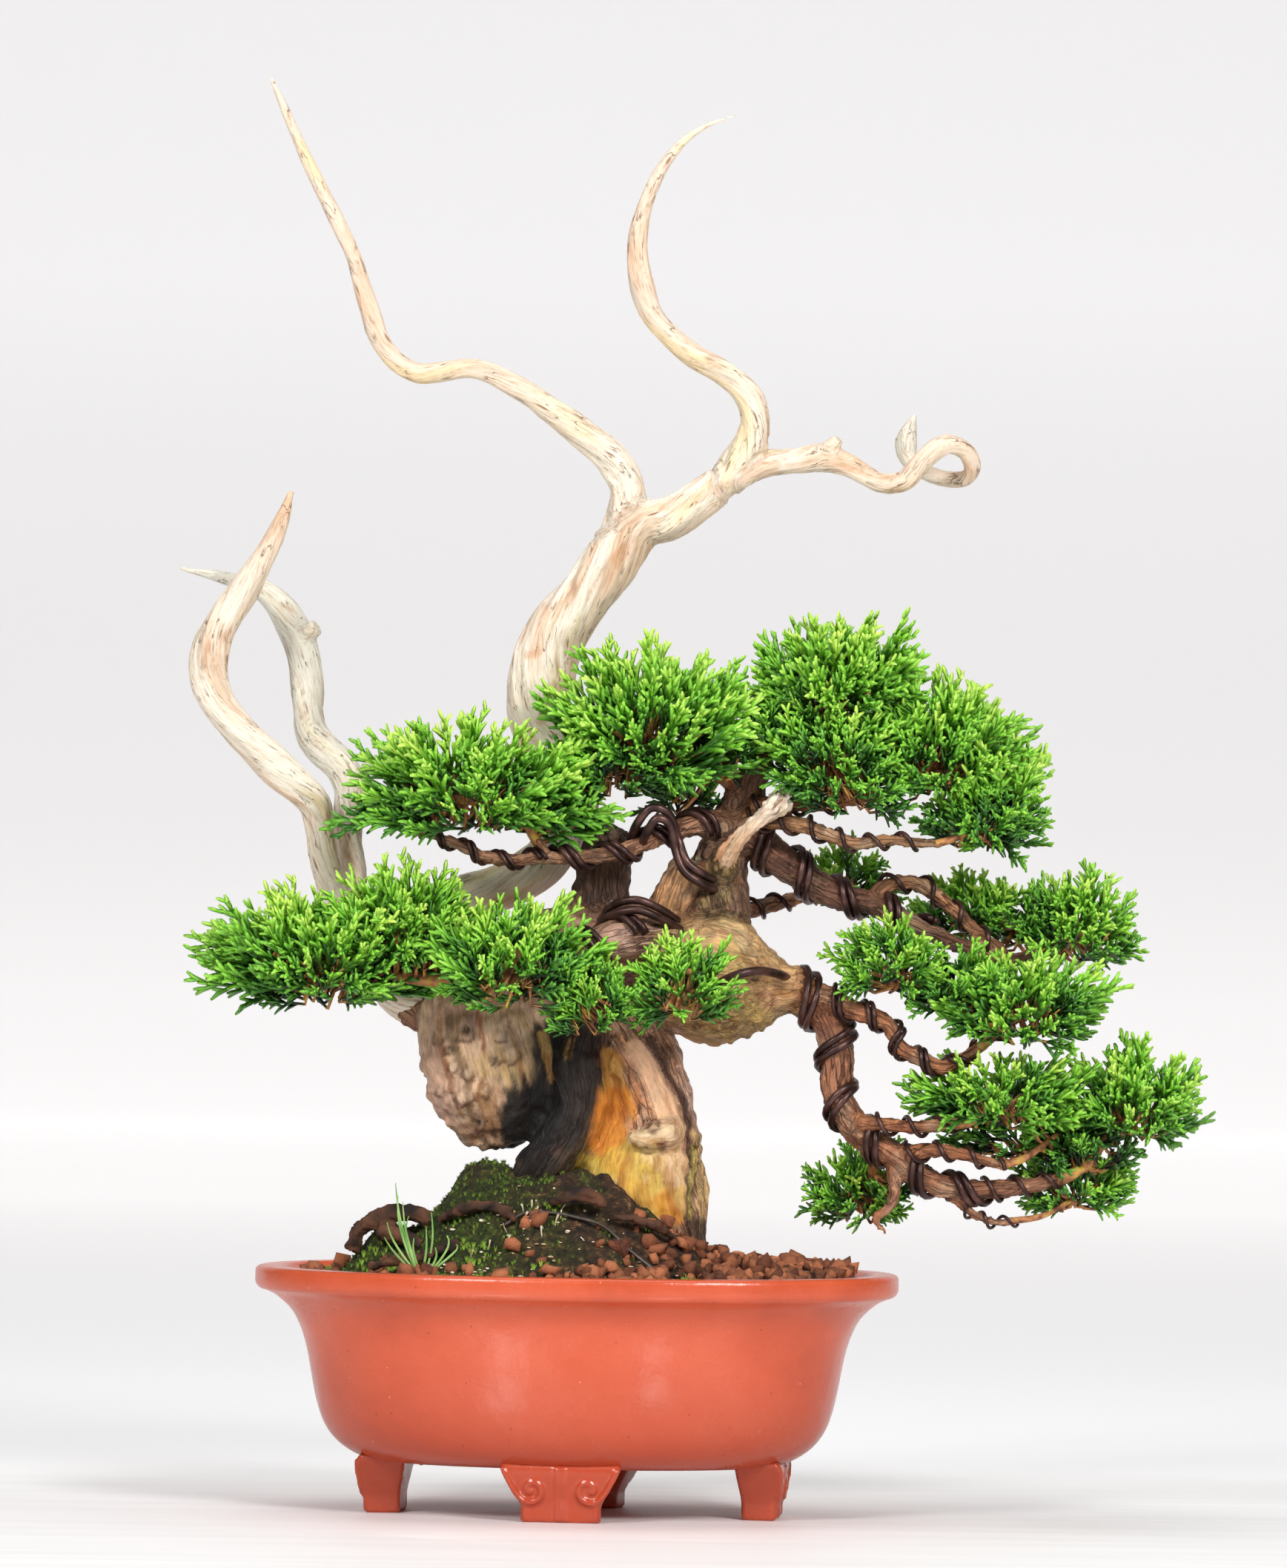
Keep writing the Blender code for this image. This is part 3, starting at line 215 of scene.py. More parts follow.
BARK_ZONES = [  # line from x, z to x, z, half width, strength, colour
    (-24, 166, -18, 145, 7, 0.6, "#D2B27C"),
    (-33.5, 169, -31.5, 157, 0.9, 0.8, "#8E5028"),
    (-31.5, 157, -31.4, 148, 0.9, 0.7, "#A8683A"),
    (-31.4, 148, -33.5, 140, 0.9, 0.8, "#8E5028"),
    (-33.5, 140, -30, 130, 0.9, 0.7, "#8A5A34"),
    (-43.5, 169, -40.8, 157, 1.5, 0.7, "#84694A"),
    (-40.8, 157, -36.6, 148, 1.4, 0.8, "#7A603C"),
    (-36.6, 148, -36.2, 137, 1.3, 0.75, "#8A6A3E"),
    (-36.2, 137, -32.3, 128, 1.2, 0.7, "#6E5030"),
    (-47, 160, -44, 150, 1, 0.6, "#A87058"),
    (-44, 150, -40, 138, 1, 0.6, "#9A6850"),
    (-50, 158, -44, 134, 3, 0.5, "#E2B4A4"),
    (-31, 152, -18, 148, 4.6, 0.7, "#E2BE88"),
    (-30, 142, -27, 130, 3.4, 0.7, "#B98A58"),
    (-27, 165, -22, 160, 4, 0.5, "#EACDB8"),
    (-36, 130, -26, 126, 3, 0.5, "#A87A58"),
    # these three zones paint the front of the hollow and the strap near black
    (-17.5, 127, -17.5, 135.5, 9.6, 0.98, "#130F0D"),
    (-12.5, 127, -12, 139, 6, 0.98, "#130F0D"),
    (-9, 140, -7, 158, 8.2, 0.98, "#130F0D"),
    (-11.5, 161, -10, 154, 1.7, 0.9, "#CFA862"),
    (-10, 154, -8, 147, 1.5, 0.85, "#B88A4C"),
    (-1.5, 160, -2.5, 154, 1, 0.7, "#A07840"),
    (9.4, 150, 8.8, 134, 0.8, 0.8, "#8C8238"),
    (8, 132, -3, 117, 1, 0.8, "#7E7440"),
    (4, 128, -6, 117, 1.6, 0.45, "#5C4A3A"),
    (14.8, 160, 23.5, 140, 2.4, 0.85, "#E4A67C"),
    (23.5, 140, 28, 131, 2.1, 0.8, "#CC9068"),
    (24.3, 160, 36.3, 140, 1.4, 0.95, "#54301F"),
    (36.3, 140, 38.2, 122, 1.3, 0.95, "#54301F"),
    (38.2, 122, 37.4, 100, 0.9, 0.8, "#5A4626"),
    (33, 162, 43, 130, 2.8, 0.75, "#ECC0AC"),
    (41.4, 128, 44, 98, 2.8, 0.9, "#F6CC8C"),
    (37, 219, 37.6, 219.6, 3, 0.95, "#F0DDB8"),
    (30, 206, 35, 214, 4, 0.5, "#E0A468"),
    (47, 215, 46, 203, 5, 0.6, "#A8925C"),
    # a pale pink zone painted on the saddle as a highlight
    (14, 196, 30, 191, 4, 0.6, "#E0B4A4"),
    (52, 200, 58, 190, 3, 0.5, "#E6CC98"),
    (60, 178, 66, 172, 3, 0.5, "#B8806A"),
    (42, 182, 46, 170, 3, 0.5, "#C89680"),
    (39.6, 124, 38.4, 100, 0.9, 0.9, "#D8C468"),
    (40, 97, 44, 93, 3, 0.8, "#3A2E20"),
    (31, 174, 62, 163, 8, 0.5, "#AC944C"),
    (33, 192, 44, 186, 7, 0.6, "#DCC48A"),
    (52, 186, 58, 172, 6, 0.5, "#C9AC62"),
    (-40, 172, -20, 178, 8, 0.5, "#96725A"),
]
WOOD_ZONES = [  # bare wood where a strip of bark is gone, in the same form
    (11.6, 154, 14, 138, 3.2, 0.95, "#F0B45C"),
    (13.5, 138, 10, 122, 6.6, 0.95, "#F0982F"),
    (4, 118, 20, 114.5, 4.4, 0.9, "#D8B848"),
    (13, 119, 27, 104, 5, 0.92, "#EDB648"),
    (21, 122, 31, 108, 6.4, 0.92, "#F0C860"),
    (32.5, 120, 34.4, 103, 3.6, 0.9, "#F4C878"),
    (24, 122, 29, 118, 3, 0.7, "#F6D49A"),
    (28.5, 106, 33, 100, 3.2, 0.85, "#EEA23A"),
    (19.8, 157, 28.4, 141, 3.3, 0.97, "#F8C49C"),
    (28.4, 141, 33, 128, 3.8, 0.97, "#FCCDA4"),
    (33, 128, 33.4, 114, 3.4, 0.9, "#FAD0A0"),
    (31, 128, 20, 127, 2.4, 0.9, "#FBDDB4"),
]
BARK_CALM = {"left_bulb": 0.8, "right_bulb": 0.4, "saddle": 0.3, "cut_column": 0.2}
PIT_DEPTHS = (0.0, 0.9, 0.0)
TRUNK_TWIST = 0.012
ROUNDED_WOOD = 5.5
FURROW_DEPTH = {"left_bulb": 0.7, "right_bulb": 0.75, "saddle": 0.6, "hollow": 0.8, "column": 0.7}

# Wires: each CAD coil's fine strands as wood, first and last arc length, radius, rise and angle
FINE_WIRES = {
    "wire_upper_left": [
        ("upper_left", 6, 64, 1.35, 16, 0), ("upper_left", 8.9, 66, 1.35, 16, 0),
    ],
    "wire_upper_left_end": [
        ("upper_left", 66, 110, 0.85, 12, 0.6), ("upper_left", 68, 112, 0.85, 12, 0.6),
    ],
    "wire_limb": [("limb", 22, 60, 1.4, 15, 1), ("limb", 25, 63, 1.4, 15, 1)],
    "wire_right_upper": [
        ("right_upper", 8, 78, 1.5, 17, 0.5), ("right_upper", 11.2, 80, 1.5, 17, 0.5),
        ("right_upper_fork", 4, 58, 1, 12.5, 0),
        ("upper_right_low", 8, 70, 0.95, 11, 0), ("upper_right", 8, 52, 0.95, 11, 1),
        ("back_branch", 6, 40, 0.9, 10, 0),
    ],
    "wire_drop": [
        ("middle", 8, 112, 1.5, 18, 0), ("middle", 11.2, 115, 1.5, 18, 0),
        ("drop_fork", 4, 40, 0.95, 10.5, 0), ("drop_fork_low", 5, 42, 0.95, 10.5, 0.8),
        ("middle", 112, 146, 0.95, 10, 0.4), ("low_twig", 2, 28, 0.7, 8, 0),
    ],
    "wire_pad_branch": [
        ("pad_branch", 8, 72, 1, 12, 0), ("pad_branch", 10.1, 74, 1, 12, 0),
    ],
}
COIL_POINTS = 16
WIRE_LIFT = 0.1
WIRE_SLIMMING = 0.82
WIRE_LOOPS = [  # radius, then x, y, z of the front view along the loop
    (1.5, (18, -6, 226), (20, -16, 232), (25, -18, 238), (31, -17, 236), (34, -14, 228), (37, -16, 220),
     (42, -15, 216), (46, -9, 214)),
    (1.5, (21, -6, 223), (23.4, -17, 229), (27, -19, 234.4), (31.4, -18, 232.4), (33, -16, 225),
        (36, -17, 217),
     (42, -16, 212.6), (46.5, -9, 210.5)),
    (1.4, (8, -10, 200), (12, -20, 205), (20, -24, 207), (28, -22, 204), (34, -14, 200)),
    (1.4, (6, -12, 196.5), (11, -22, 201.6), (20, -26, 203.6), (28, -24, 200.8), (35, -15, 197)),
    (1.5, (38, -20, 171), (50, -26, 180), (60, -24, 183), (68, -14, 182), (72, -4, 180)),
]

# Foliage
FINGER_SIDES = 3
FINGER_FULLNESS = 1.12
FINGER_ROOT, FINGER_BELLY, FINGER_TIP = 0.8, 0.68, 0.52
SPRAY_KINDS = 9
SPRAY_LENGTH = 23.5
SIDE_SHOOTS = 7
LOWEST_SPRAY = -0.72
GOLDEN_TURN = math.radians(137.5)
INNER_SHARE = 0.27
LONG_SHARE = 0.07
SKIN_POWER = 1.6
INNER_TONE, OUTER_TONE = 0.1, 0.46
FILL_SHADE = -0.3
FILL_SPREAD = 1.25
FILL_CLUMPS = {  # shoots under and between the pads, painted darker as shade: middle and half sizes
    "foliage_upper_left": [(-10, -14, 239, 20, 14, 12)],
    "foliage_top": [(14, -10, 250, 30, 16, 11), (48, -4, 256, 14, 12, 14), (36, 2, 241, 14, 8, 7)],
    "foliage_upper_right": [(92, -14, 244, 26, 14, 9), (66, -4, 262, 12, 12, 14)],
    "foliage_upper_right_end": [(134, -4, 233, 19, 14, 12)],
    "foliage_lower_left": [(-86, -22, 180, 26, 14, 12)],
    "foliage_lower_middle": [(-6, -42, 183, 20, 12, 12)],
    "foliage_right": [(128, -15, 177, 18, 14, 13)],
    "foliage_far_right": [(150, 22, 197, 18, 14, 12)],
    "foliage_lower_right": [(150, -4, 127, 28, 12, 11)],
    "foliage_lower_right_end": [(172, -4, 124, 22, 14, 11)],
    "foliage_low_back": [(102, 10, 113, 12, 12, 12)],
}
FINE_STEMS = {  # stems that run on from the ends of wired branches: x, y, z, radius
    "foliage_upper_right_end": [[(121, -12.5, 225.8, 1.4), (130, -10, 229, 1.2), (139, -4, 237, 0.9)]],
    "foliage_lower_right": [[(142.5, -17, 117.4, 1.5), (151, -14, 120, 1.3), (162, -9, 128, 0.9)]],
    "foliage_lower_right_end": [[(147, -9.2, 98.8, 1.2), (157, -6, 100.5, 1), (167, -1, 106, 0.8)]],
}
SOIL_BUMPS = [  # x, y, half width, half depth, height, power of the fall
    (-10, 2, 46, 44, 35, 4),
    (15, -13, 19, 17, 3.5, 2.4),
    (-33, 2, 10, 12, 6, 3),
    (-66, -4, 10, 9, 13, 2.6),
    (62, 0, 34, 40, 5, 2.4),
]
GRASS_FOOT = (-51.0, -38.0)
GRASS_BLADES = [  # end of each blade from its foot: x, y, z, and its bow to the side
    (-8.5, -2, 26, -2.5), (-5, 3, 19, -3), (8, -3, 13, 3.5), (2.5, 2, 20.5, 1.5),
    (-13, 1, 12, -2),
]
SOIL_WIRE_ROUTE = [
    (-24, -36), (-17, -35), (-8, -34), (0, -34), (9, -35), (18, -38), (26, -42),
]
SOIL_WIRE_RADIUS = 0.8

WOOD = {
    "column": [
        (22, 6, 68, 20), (21.5, 5, 91, 22), (21, 4, 104, 22), (21.5, 3, 115, 21.5), (24, 2, 126, 18),
        (25, 1, 136, 15.4),
        (23.7, 0, 146, 13.6), (20.3, 0, 156, 13), (15.5, 0, 167, 13), (8, 2, 178, 14), (2, 4, 188, 14),
    ],
    "strap": [
        (6, -4, 170, 8), (1.5, -6, 152, 8.5), (1.5, -6.5, 138, 8.7), (-3.5, -6, 127, 8.7), (-12, -4, 117, 9),
        (-16, -2, 109, 8),
    ],
    "hollow": [(-16, 6, 131, 8), (-9, 6, 140, 12), (-5, 5, 152, 13), (-4, 5, 166, 12.5)],
    "left_bulb": [
        (-24, 5, 124.5, 8), (-25, 5, 130, 15), (-26, 5, 139, 21), (-27, 5, 150, 24.5), (-28, 6, 162, 25),
        (-26, 7, 174, 23), (-21, 8, 186, 18), (-14, 8, 194, 11),
    ],
    "saddle": [(-24, 8, 180, 14), (-10, 7, 185, 18.5), (6, 6, 187, 19), (22, 4, 188, 18), (36, 1, 185, 16)],
    "right_bulb": [
        (28, 0, 187, 13), (36, -2, 183, 19), (46, -3, 180.5, 22.5), (54, -3, 178.5, 20.5),
        (61, -2.5, 177, 15.5),
        (68, -2, 176, 10),
    ],
    "left_seat": [(-34, 8, 160, 10), (-57, 14, 172, 6.6)],
    "main_seat": [(-30, 8, 170, 13), (-46, 9, 184, 8.2)],
    "dark_column": [
        (8, 6, 196, 11), (8.5, 5, 206, 10.5), (9, 4, 216, 9.5), (11, 3, 226, 8), (13, 2, 231, 5.5),
    ],
    "cut_column": [
        (28, -2, 194, 9), (31, -5, 203, 7.5), (34, -7, 211, 6.8), (37, -8.5, 217.5, 6.3), (38, -9, 220, 5.5),
    ],
    "limb": [
        (36, -6, 190, 9), (26, -15, 193, 8), (14, -22.5, 193, 7.2), (2, -27.5, 190.5, 5.6),
        (-9, -30, 187.5, 4.4),
        (-24, -30, 182, 3.4), (-38, -29, 180, 2.8),
    ],
    "limb_spur": [(-11, -30, 187, 3), (-12, -37, 190, 1.9)],
    "sprig_spur": [(27, -14, 192, 4), (28, -25, 188, 1.8)],
    "upper_trunk": [
        (46, 1, 196, 14), (46, 3, 206, 12), (47, 4, 216, 10), (50, 5, 226, 8.6), (54, 5.5, 235, 7.4),
        (57, 5.5, 243, 6.2), (60.5, 5, 251, 5.2), (64, 5, 260, 4.2), (66, 5, 267, 3.2),
    ],
    "stub_seat": [(48, 1, 215, 6.5), (50.5, -7.5, 220.5, 4)],
    "top_spur": [(57, 5.5, 243, 4), (47, 0, 250, 2.4)],
    "upper_left": [
        (50, 3, 231, 6.5), (41.8, -3, 232.5, 4.2), (28.8, -9, 228.8, 3.2), (14.5, -13, 223, 2.9),
        (0.5, -15, 221.5, 2.6),
        (-13.8, -16, 221.3, 2.4), (-23, -17, 220.3, 2.2), (-30.5, -18, 221.5, 2), (-39, -19, 225, 1.9),
        (-48.5, -20, 228.8, 1.7), (-56, -20.5, 230.5, 1.4),
    ],
    "upper_left_spur": [(-10, -16, 221.4, 2), (-14, -16, 227.5, 1.7)],
    "upper_right": [
        (54, 5, 236, 5), (63, 0, 238.5, 3.6), (73.5, -5, 239.3, 2.9), (85, -8, 239.3, 2.6),
        (96.5, -9, 241.8, 2.3),
        (104.3, -9, 243.5, 2),
    ],
    "upper_right_low": [
        (52, 4, 230, 6), (62, -3, 234, 3.6), (69.8, -8, 233.3, 3), (77.5, -12, 232, 2.7),
        (85.8, -15, 228.5, 2.5),
        (95, -16, 226, 2.2), (104.3, -16, 227, 2), (115.8, -14, 226.3, 1.7), (123.3, -12, 225.5, 1.3),
    ],
    "right_upper": [
        (50, 4, 226, 8), (57.3, 4, 229, 7), (67.8, 4, 221.3, 6), (78, 5, 214, 5.4), (88.5, 6, 207.8, 4.8),
        (98.8, 7, 206, 4.2), (114.3, 8, 198.5, 3.2), (129.8, 10, 191.3, 2.8), (143.3, 12, 187, 2.5),
        (155.8, 13, 188.5, 2.1),
    ],
    "right_upper_fork": [
        (98.8, 7, 206, 3.6), (105, 8, 212, 2.8), (115.3, 9, 212.4, 2.6), (124.8, 10, 205.5, 2.4),
        (135, 11, 196, 2.2),
        (144, 12, 189, 2.2),
    ],
    "back_branch": [(50, 8, 204, 6), (54.3, 16, 203, 3.6), (64, 23, 205, 2.8), (74, 27, 207.5, 2.3)],
    "middle": [
        (64, -2, 177, 11), (72, -2, 176, 8.5), (80, -3, 172, 7), (85.5, -4, 165, 6.2), (88, -6, 152.3, 5.6),
        (87.3, -7, 143.5, 5.4), (91, -8, 135, 5.1), (96.8, -9, 127.3, 5), (106.3, -10, 121.5, 4.6),
        (114, -10, 115, 4.2), (125.5, -10, 110, 3.8), (139.8, -10, 109.3, 3.2), (154, -9, 111, 2.6),
        (163, -8, 113, 2.2),
    ],
    "pad_branch": [
        (78, -4, 174, 6), (85, -9, 174.3, 4), (92, -12, 170.5, 3.5), (104.3, -14, 165.5, 3),
        (109.3, -15, 157.5, 2.8),
        (115.8, -16, 153.3, 2.6), (124.5, -17, 150.8, 2.3), (131, -17, 154.3, 2.1), (136, -16.5, 157.5, 1.9),
    ],
    "drop_fork": [(93, -8, 132, 4), (100.5, -15, 131.6, 2.6), (115.8, -19, 130.5, 2.3), (130.3, -19, 132, 2)],
    "drop_fork_low": [
        (107, -10, 121, 3.6), (121.5, -17, 122.5, 2.2), (135, -18, 119.8, 1.9), (144.5, -17, 116.8, 1.4),
    ],
    "back_spur": [(98, -8, 126, 4), (100, 4, 118, 2)],
    "low_twig": [(125.5, -10, 110, 2.6), (131, -10, 103, 1.7), (139, -10, 98.6, 1.5), (149.3, -9, 98.8, 1.1)],
    "bent_twig": [
        (106.3, -10, 119, 2.6), (106.8, -10, 106, 1.8), (100.5, -10, 99, 1.4), (104.5, -10, 95.4, 1),
    ],
    "pale_spike": [(31, -12, 128, 5), (23.5, -17.5, 126, 3), (17.5, -20, 127.5, 1.7)],
}
FLAT_WOOD = {"left_bulb": 0.8, "saddle": 0.85, "right_bulb": 0.88}

# Bleached wood
MAIN_JIN = {
    "lower": [
        (-51.5, 12, 191, 7.8), (-50.5, 16, 200.5, 7.5), (-42, 17.5, 207, 7.6), (-31, 18.5, 209.6, 7.6),
        (-19, 20, 214.6, 7.8), (-8.3, 22, 223, 8), (-1.5, 25, 236, 8), (-2.8, 27, 249.5, 8.6),
        (-9, 28, 260, 9.6),
        (-13.5, 28, 271, 10.8), (-11.4, 28, 284.3, 11.4), (-7.5, 27, 296, 10.4), (1, 26, 307.5, 9.4),
        (10.5, 24, 319.5, 9.2),
        (20.5, 22, 333.5, 8.6), (31, 20, 336, 7.4), (42.5, 19, 343, 6.4), (52.5, 18, 350, 6),
        (62.5, 17.5, 354, 5.1),
        (74, 17, 354.8, 4.5), (82.5, 16, 356, 4.5), (91, 15, 354, 4.1), (96.8, 15, 350.5, 3.8),
        (102.8, 14, 347.4, 3.6),
        (110.3, 13, 348, 3.5), (115, 12, 353, 3.5), (119.8, 11, 358, 3.3), (125.3, 12, 360.8, 3.2),
        (130.8, 15, 359, 3.1),
        (133.6, 19, 354, 2.9), (132, 24, 349.6, 2.8), (126.3, 29, 348.8, 2.7), (119.8, 33, 350.5, 2.6),
        (112.5, 35, 355, 2.6),
        (111.2, 36, 361, 3.6), (112.2, 36, 365.5, 2.6), (114.3, 36, 371, 0.7),
    ],
    "left_arm": [
        (12, 23.5, 324, 7.5), (16.8, 22, 337, 6.9), (17.6, 21, 346.5, 6.3), (12.6, 20, 355.5, 5.5),
        (2.3, 19, 364.3, 5),
        (-6.5, 18, 370.7, 4.5), (-14.3, 17, 376.3, 4), (-22.3, 16, 381, 3.7), (-30.8, 15.5, 385.3, 3.5),
        (-38, 15, 386.4, 3.5),
        (-46, 14, 385, 3.5), (-54, 13.5, 384.5, 3.5), (-61, 13, 388.5, 3.5), (-66.8, 12, 396.2, 3.3),
        (-69.8, 11.5, 405.5, 3),
        (-72.5, 11, 414.5, 2.8), (-75.5, 10, 424.5, 2.6), (-79.8, 9, 434, 2.5), (-84, 8, 442.5, 2.4),
        (-88.3, 7, 451, 2.2),
        (-94, 6, 463.3, 1.9), (-98.3, 5, 473.3, 1.5), (-103.8, 4, 485.5, 0.5),
    ],
    "rising_arm": [
        (49, 18, 347, 6), (56.8, 17, 357.5, 6.2), (59.9, 15, 366.5, 5.5), (59, 13, 374.5, 4.9),
        (55, 12, 380.5, 4.6),
        (48.3, 11, 385.6, 4.3), (39.5, 10, 390.4, 3.9), (31.5, 9, 397, 3.7), (25.3, 8, 404.5, 3.8),
        (21.8, 7, 414.3, 3.9),
        (20.6, 6, 424.5, 3.5), (21.3, 5, 434, 3), (23.8, 4, 443, 2.6), (28.2, 3, 453, 2),
        (35.3, 1, 462.3, 1.4),
        (43.8, -1, 468.3, 0.9), (54.3, -3, 472, 0.4),
    ],
    "nub": [(83, 16, 356.5, 3.6), (86.5, 14, 360.6, 2.6), (88.3, 13, 362.6, 1.7)],
}
LEFT_JIN = {
    "front": [
        (-65.5, 17.5, 180, 6.4), (-72, 21, 189, 6.4), (-77.5, 22, 200, 6.4), (-82.5, 21, 211, 5.4),
        (-85.5, 19, 222, 5), (-86.5, 18, 231, 5.2), (-88, 17, 239, 5.7), (-93.3, 16, 245, 6),
        (-100.2, 15, 251.3, 6),
        (-107.8, 14, 257.8, 5.8), (-115.3, 13, 265.6, 5.7), (-121.6, 12, 274.5, 5.7), (-124.5, 11, 284.5, 6),
        (-123, 10, 293.8, 6.2), (-118.6, 9, 302.5, 6), (-112.3, 8, 311.5, 5), (-105.5, 7, 322.5, 3.7),
        (-99.8, 6, 334.8, 2.6),
        (-96.3, 5, 345, 1.1),
    ],
    "back": [
        (-75.5, 22, 196, 5.6), (-75.5, 27, 206, 5.4), (-75.5, 31, 216, 4.9), (-77, 33, 226.5, 5.1),
        (-77.2, 34, 236, 5.6),
        (-76.9, 35, 244.8, 5.9), (-79.6, 36, 252, 6), (-85, 37, 257.4, 5.6), (-89.6, 38, 263.4, 5.3),
        (-91, 38, 272, 5.2),
        (-91, 38, 281, 5.2), (-92.2, 38, 290, 5.2), (-95.8, 38, 299, 5.2), (-101, 38, 307, 4.8),
        (-107.5, 38, 312.3, 3.8),
        (-116.5, 38, 315, 2.6), (-124.5, 38, 317, 1.6), (-134, 38, 318.8, 0.6),
    ],
    "knob": [(-93, 37, 296, 4), (-87.6, 34, 299, 3)],
}
STUB_JIN = {
    "stub": [
        (55.5, -13, 229, 3.3), (61, -12.5, 234.3, 3.3), (65.5, -13.5, 238, 3.8), (68.8, -14, 240.8, 4.3),
        (70.2, -14.2, 242.2, 3.5),
    ],
}

# The broken fibres at the stub's head
SNAPPED_HEAD = [
    [(66, -13.5, 238, 2.6), (65.2, -15, 243, 1.7)],
    [(69, -14, 240.5, 3), (71.6, -14.5, 243.4, 1.6)],
    [(68, -13, 239.5, 3), (69, -13, 244, 1.9)],
]
SNAPPED_WARMTH = 1.1
SNAPPED_FINENESS = 0.68
JIN_TWIST = 0.035
ROUNDED_JIN = 3.2
THIN_WARMTH = 0.5
WARM_STAINS = [  # line from x, z to x, z, half width, strength
    (-16.5, 289.5, -13.5, 290.5, 1.8, 0.75), (-6, 278, 2, 294, 3, 0.6),
    (-19, 296, -12, 306, 2, 0.5), (30, 339, 60, 350, 2, 0.6),
    (14, 322, 26, 334, 2.6, 0.7), (58, 350, 66, 352, 3, 0.8), (-12, 268, -8, 278, 2, 0.9),
]

# The flat end of living wood that each of these starts on
SEATS = {"lower": "main_seat", "front": "left_seat", "stub": "stub_seat"}

# Each pad: the wood end it starts on, its leafy stems, and its clumps as middle and half sizes
PADS = {
    "foliage_upper_left": (
        "upper_left_spur",
        [[(-20, -16, 236, 1.6), (-34, -17, 240, 1.5), (-50, -19, 242, 1.3), (-60, -20, 243, 1)]],
        [(-34, -16, 245, 45, 27, 22)],
    ),
    "foliage_top": (
        "top_spur",
        [[(38, -3, 256, 2), (24, -4, 261, 1.7), (6, -5, 264, 1.2)]],
        [(25, -6, 266, 38, 28, 27)],
    ),
    "foliage_upper_right": (
        "upper_trunk",
        [[(70, 4, 275, 2.2), (86, 2, 277, 1.8), (98, 2, 277, 1.2)], [(70, 4, 275, 1.8), (84, -5, 258, 1.3)]],
        [(88, 1, 280, 30, 28, 24), (87, -12, 257, 28, 19, 18)],
    ),
    "foliage_upper_right_end": (
        "upper_right",
        [[(112, -7, 249, 1.8), (122, 0, 252, 1.5), (136, 3, 243, 1.2)]],
        [(122, 1, 259, 29, 27, 25), (140, 4, 241, 19, 23, 26)],
    ),
    "foliage_lower_left": (
        "limb",
        [[(-58, -27, 181, 2), (-82, -25, 187, 1.6), (-100, -24, 191, 1.1)]],
        [(-84, -25, 189, 43, 26, 22), (-57, -27, 197, 29, 21, 22)],
    ),
    "foliage_lower_middle": (
        "limb_spur",
        [[(-13, -43, 193, 1.6), (-17, -48, 193, 1.2)]],
        [(-22, -47, 187, 30, 16, 22), (6, -45, 172, 15, 10, 15)],
    ),
    "foliage_sprig": (
        "sprig_spur",
        [[(33, -33, 184, 1.4), (42, -34, 182, 1)]],
        [(36, -37, 179, 19, 11, 18)],
    ),
    "foliage_far_right": (
        "right_upper",
        [[(166, 14, 193, 1.6), (174, 15, 199, 1.1)],
         [(166, 14, 193, 1.5), (148, 26, 199, 1.3), (132, 29, 203, 1)]],
        [(169, 15, 199, 22, 21, 19), (133, 29, 203, 22, 15, 14)],
    ),
    "foliage_right": (
        "pad_branch",
        [[(142, -16, 163, 1.7), (152, -14, 169, 1.5), (164, -13, 169, 1.1)],
         [(142, -16, 163, 1.6), (126, -15, 173, 1.3), (110, -14, 181, 1)]],
        [(106, -14, 186, 19, 19, 16), (150, -15, 172, 31, 21, 18)],
    ),
    "foliage_lower_right": (
        "drop_fork",
        [[(138, -19, 135, 1.7), (152, -16, 140, 1.2)]],
        [(144, -16, 141, 31, 21, 15)],
    ),
    "foliage_lower_right_end": (
        "middle",
        [[(172, -7, 118, 1.8), (182, -6, 130, 1.5), (196, -4, 136, 1.1)],
         [(172, -7, 118, 1.4), (177, 5, 113, 1)]],
        [(187, -5, 139, 26, 23, 20), (168, 6, 111, 23, 15, 12)],
    ),
    "foliage_low_back": (
        "back_spur",
        [[(98, 12, 112, 1.5), (88, 15, 107, 1.1)]],
        [(94, 14, 108, 19, 14, 14)],
    ),
    "foliage_back": (
        "back_branch",
        [[(83, 31, 211.5, 1.6), (92, 34, 213, 1.1)]],
        [(89, 34, 213, 19, 14, 11)],
    ),
}


def place(x, y, z):
    """A point read in the front view at depth y, levelled and moved along its line of sight."""
    across, up = x, z - LEVEL_Z
    level_x = math.cos(VIEW_ROLL) * across - math.sin(VIEW_ROLL) * up
    level_z = math.sin(VIEW_ROLL) * across + math.cos(VIEW_ROLL) * up + LEVEL_Z
    far = 1 + y / VIEW_DISTANCE
    return Vector((EYE_X + (level_x - EYE_X) * far, y, EYE_Z + (level_z - EYE_Z) * far))


def placed(route):
    """A route's points, each with its radius."""
    return [(place(x, y, z), radius) for x, y, z, radius in route]


def seen(points):
    """The front view's x and z of points, which undoes place()."""
    far = 1 + points[:, 1] / VIEW_DISTANCE
    level_x = EYE_X + (points[:, 0] - EYE_X) / far
    level_z = EYE_Z + (points[:, 2] - EYE_Z) / far - LEVEL_Z
    x = math.cos(VIEW_ROLL) * level_x + math.sin(VIEW_ROLL) * level_z
    z = -math.sin(VIEW_ROLL) * level_x + math.cos(VIEW_ROLL) * level_z + LEVEL_Z
    return x, z


def seated(route, seat):
    """A run that goes straight on from the flat end of a piece of living wood, then along its own route."""
    (before, _), (end, radius) = placed(WOOD[seat])[-2:]
    way = (end - before).normalized()
    thin = min(radius, route[0][3] * 1.3)
    return [(end - way * thin, thin), (end + way * thin * 0.6, thin)] + placed(route)


def smooth_step(values, low, high):
    """0 below low, 1 above high and a soft rise between; it falls where low is above high."""
    share = np.clip((values - low) / (high - low), 0, 1)
    return share * share * (3 - 2 * share)


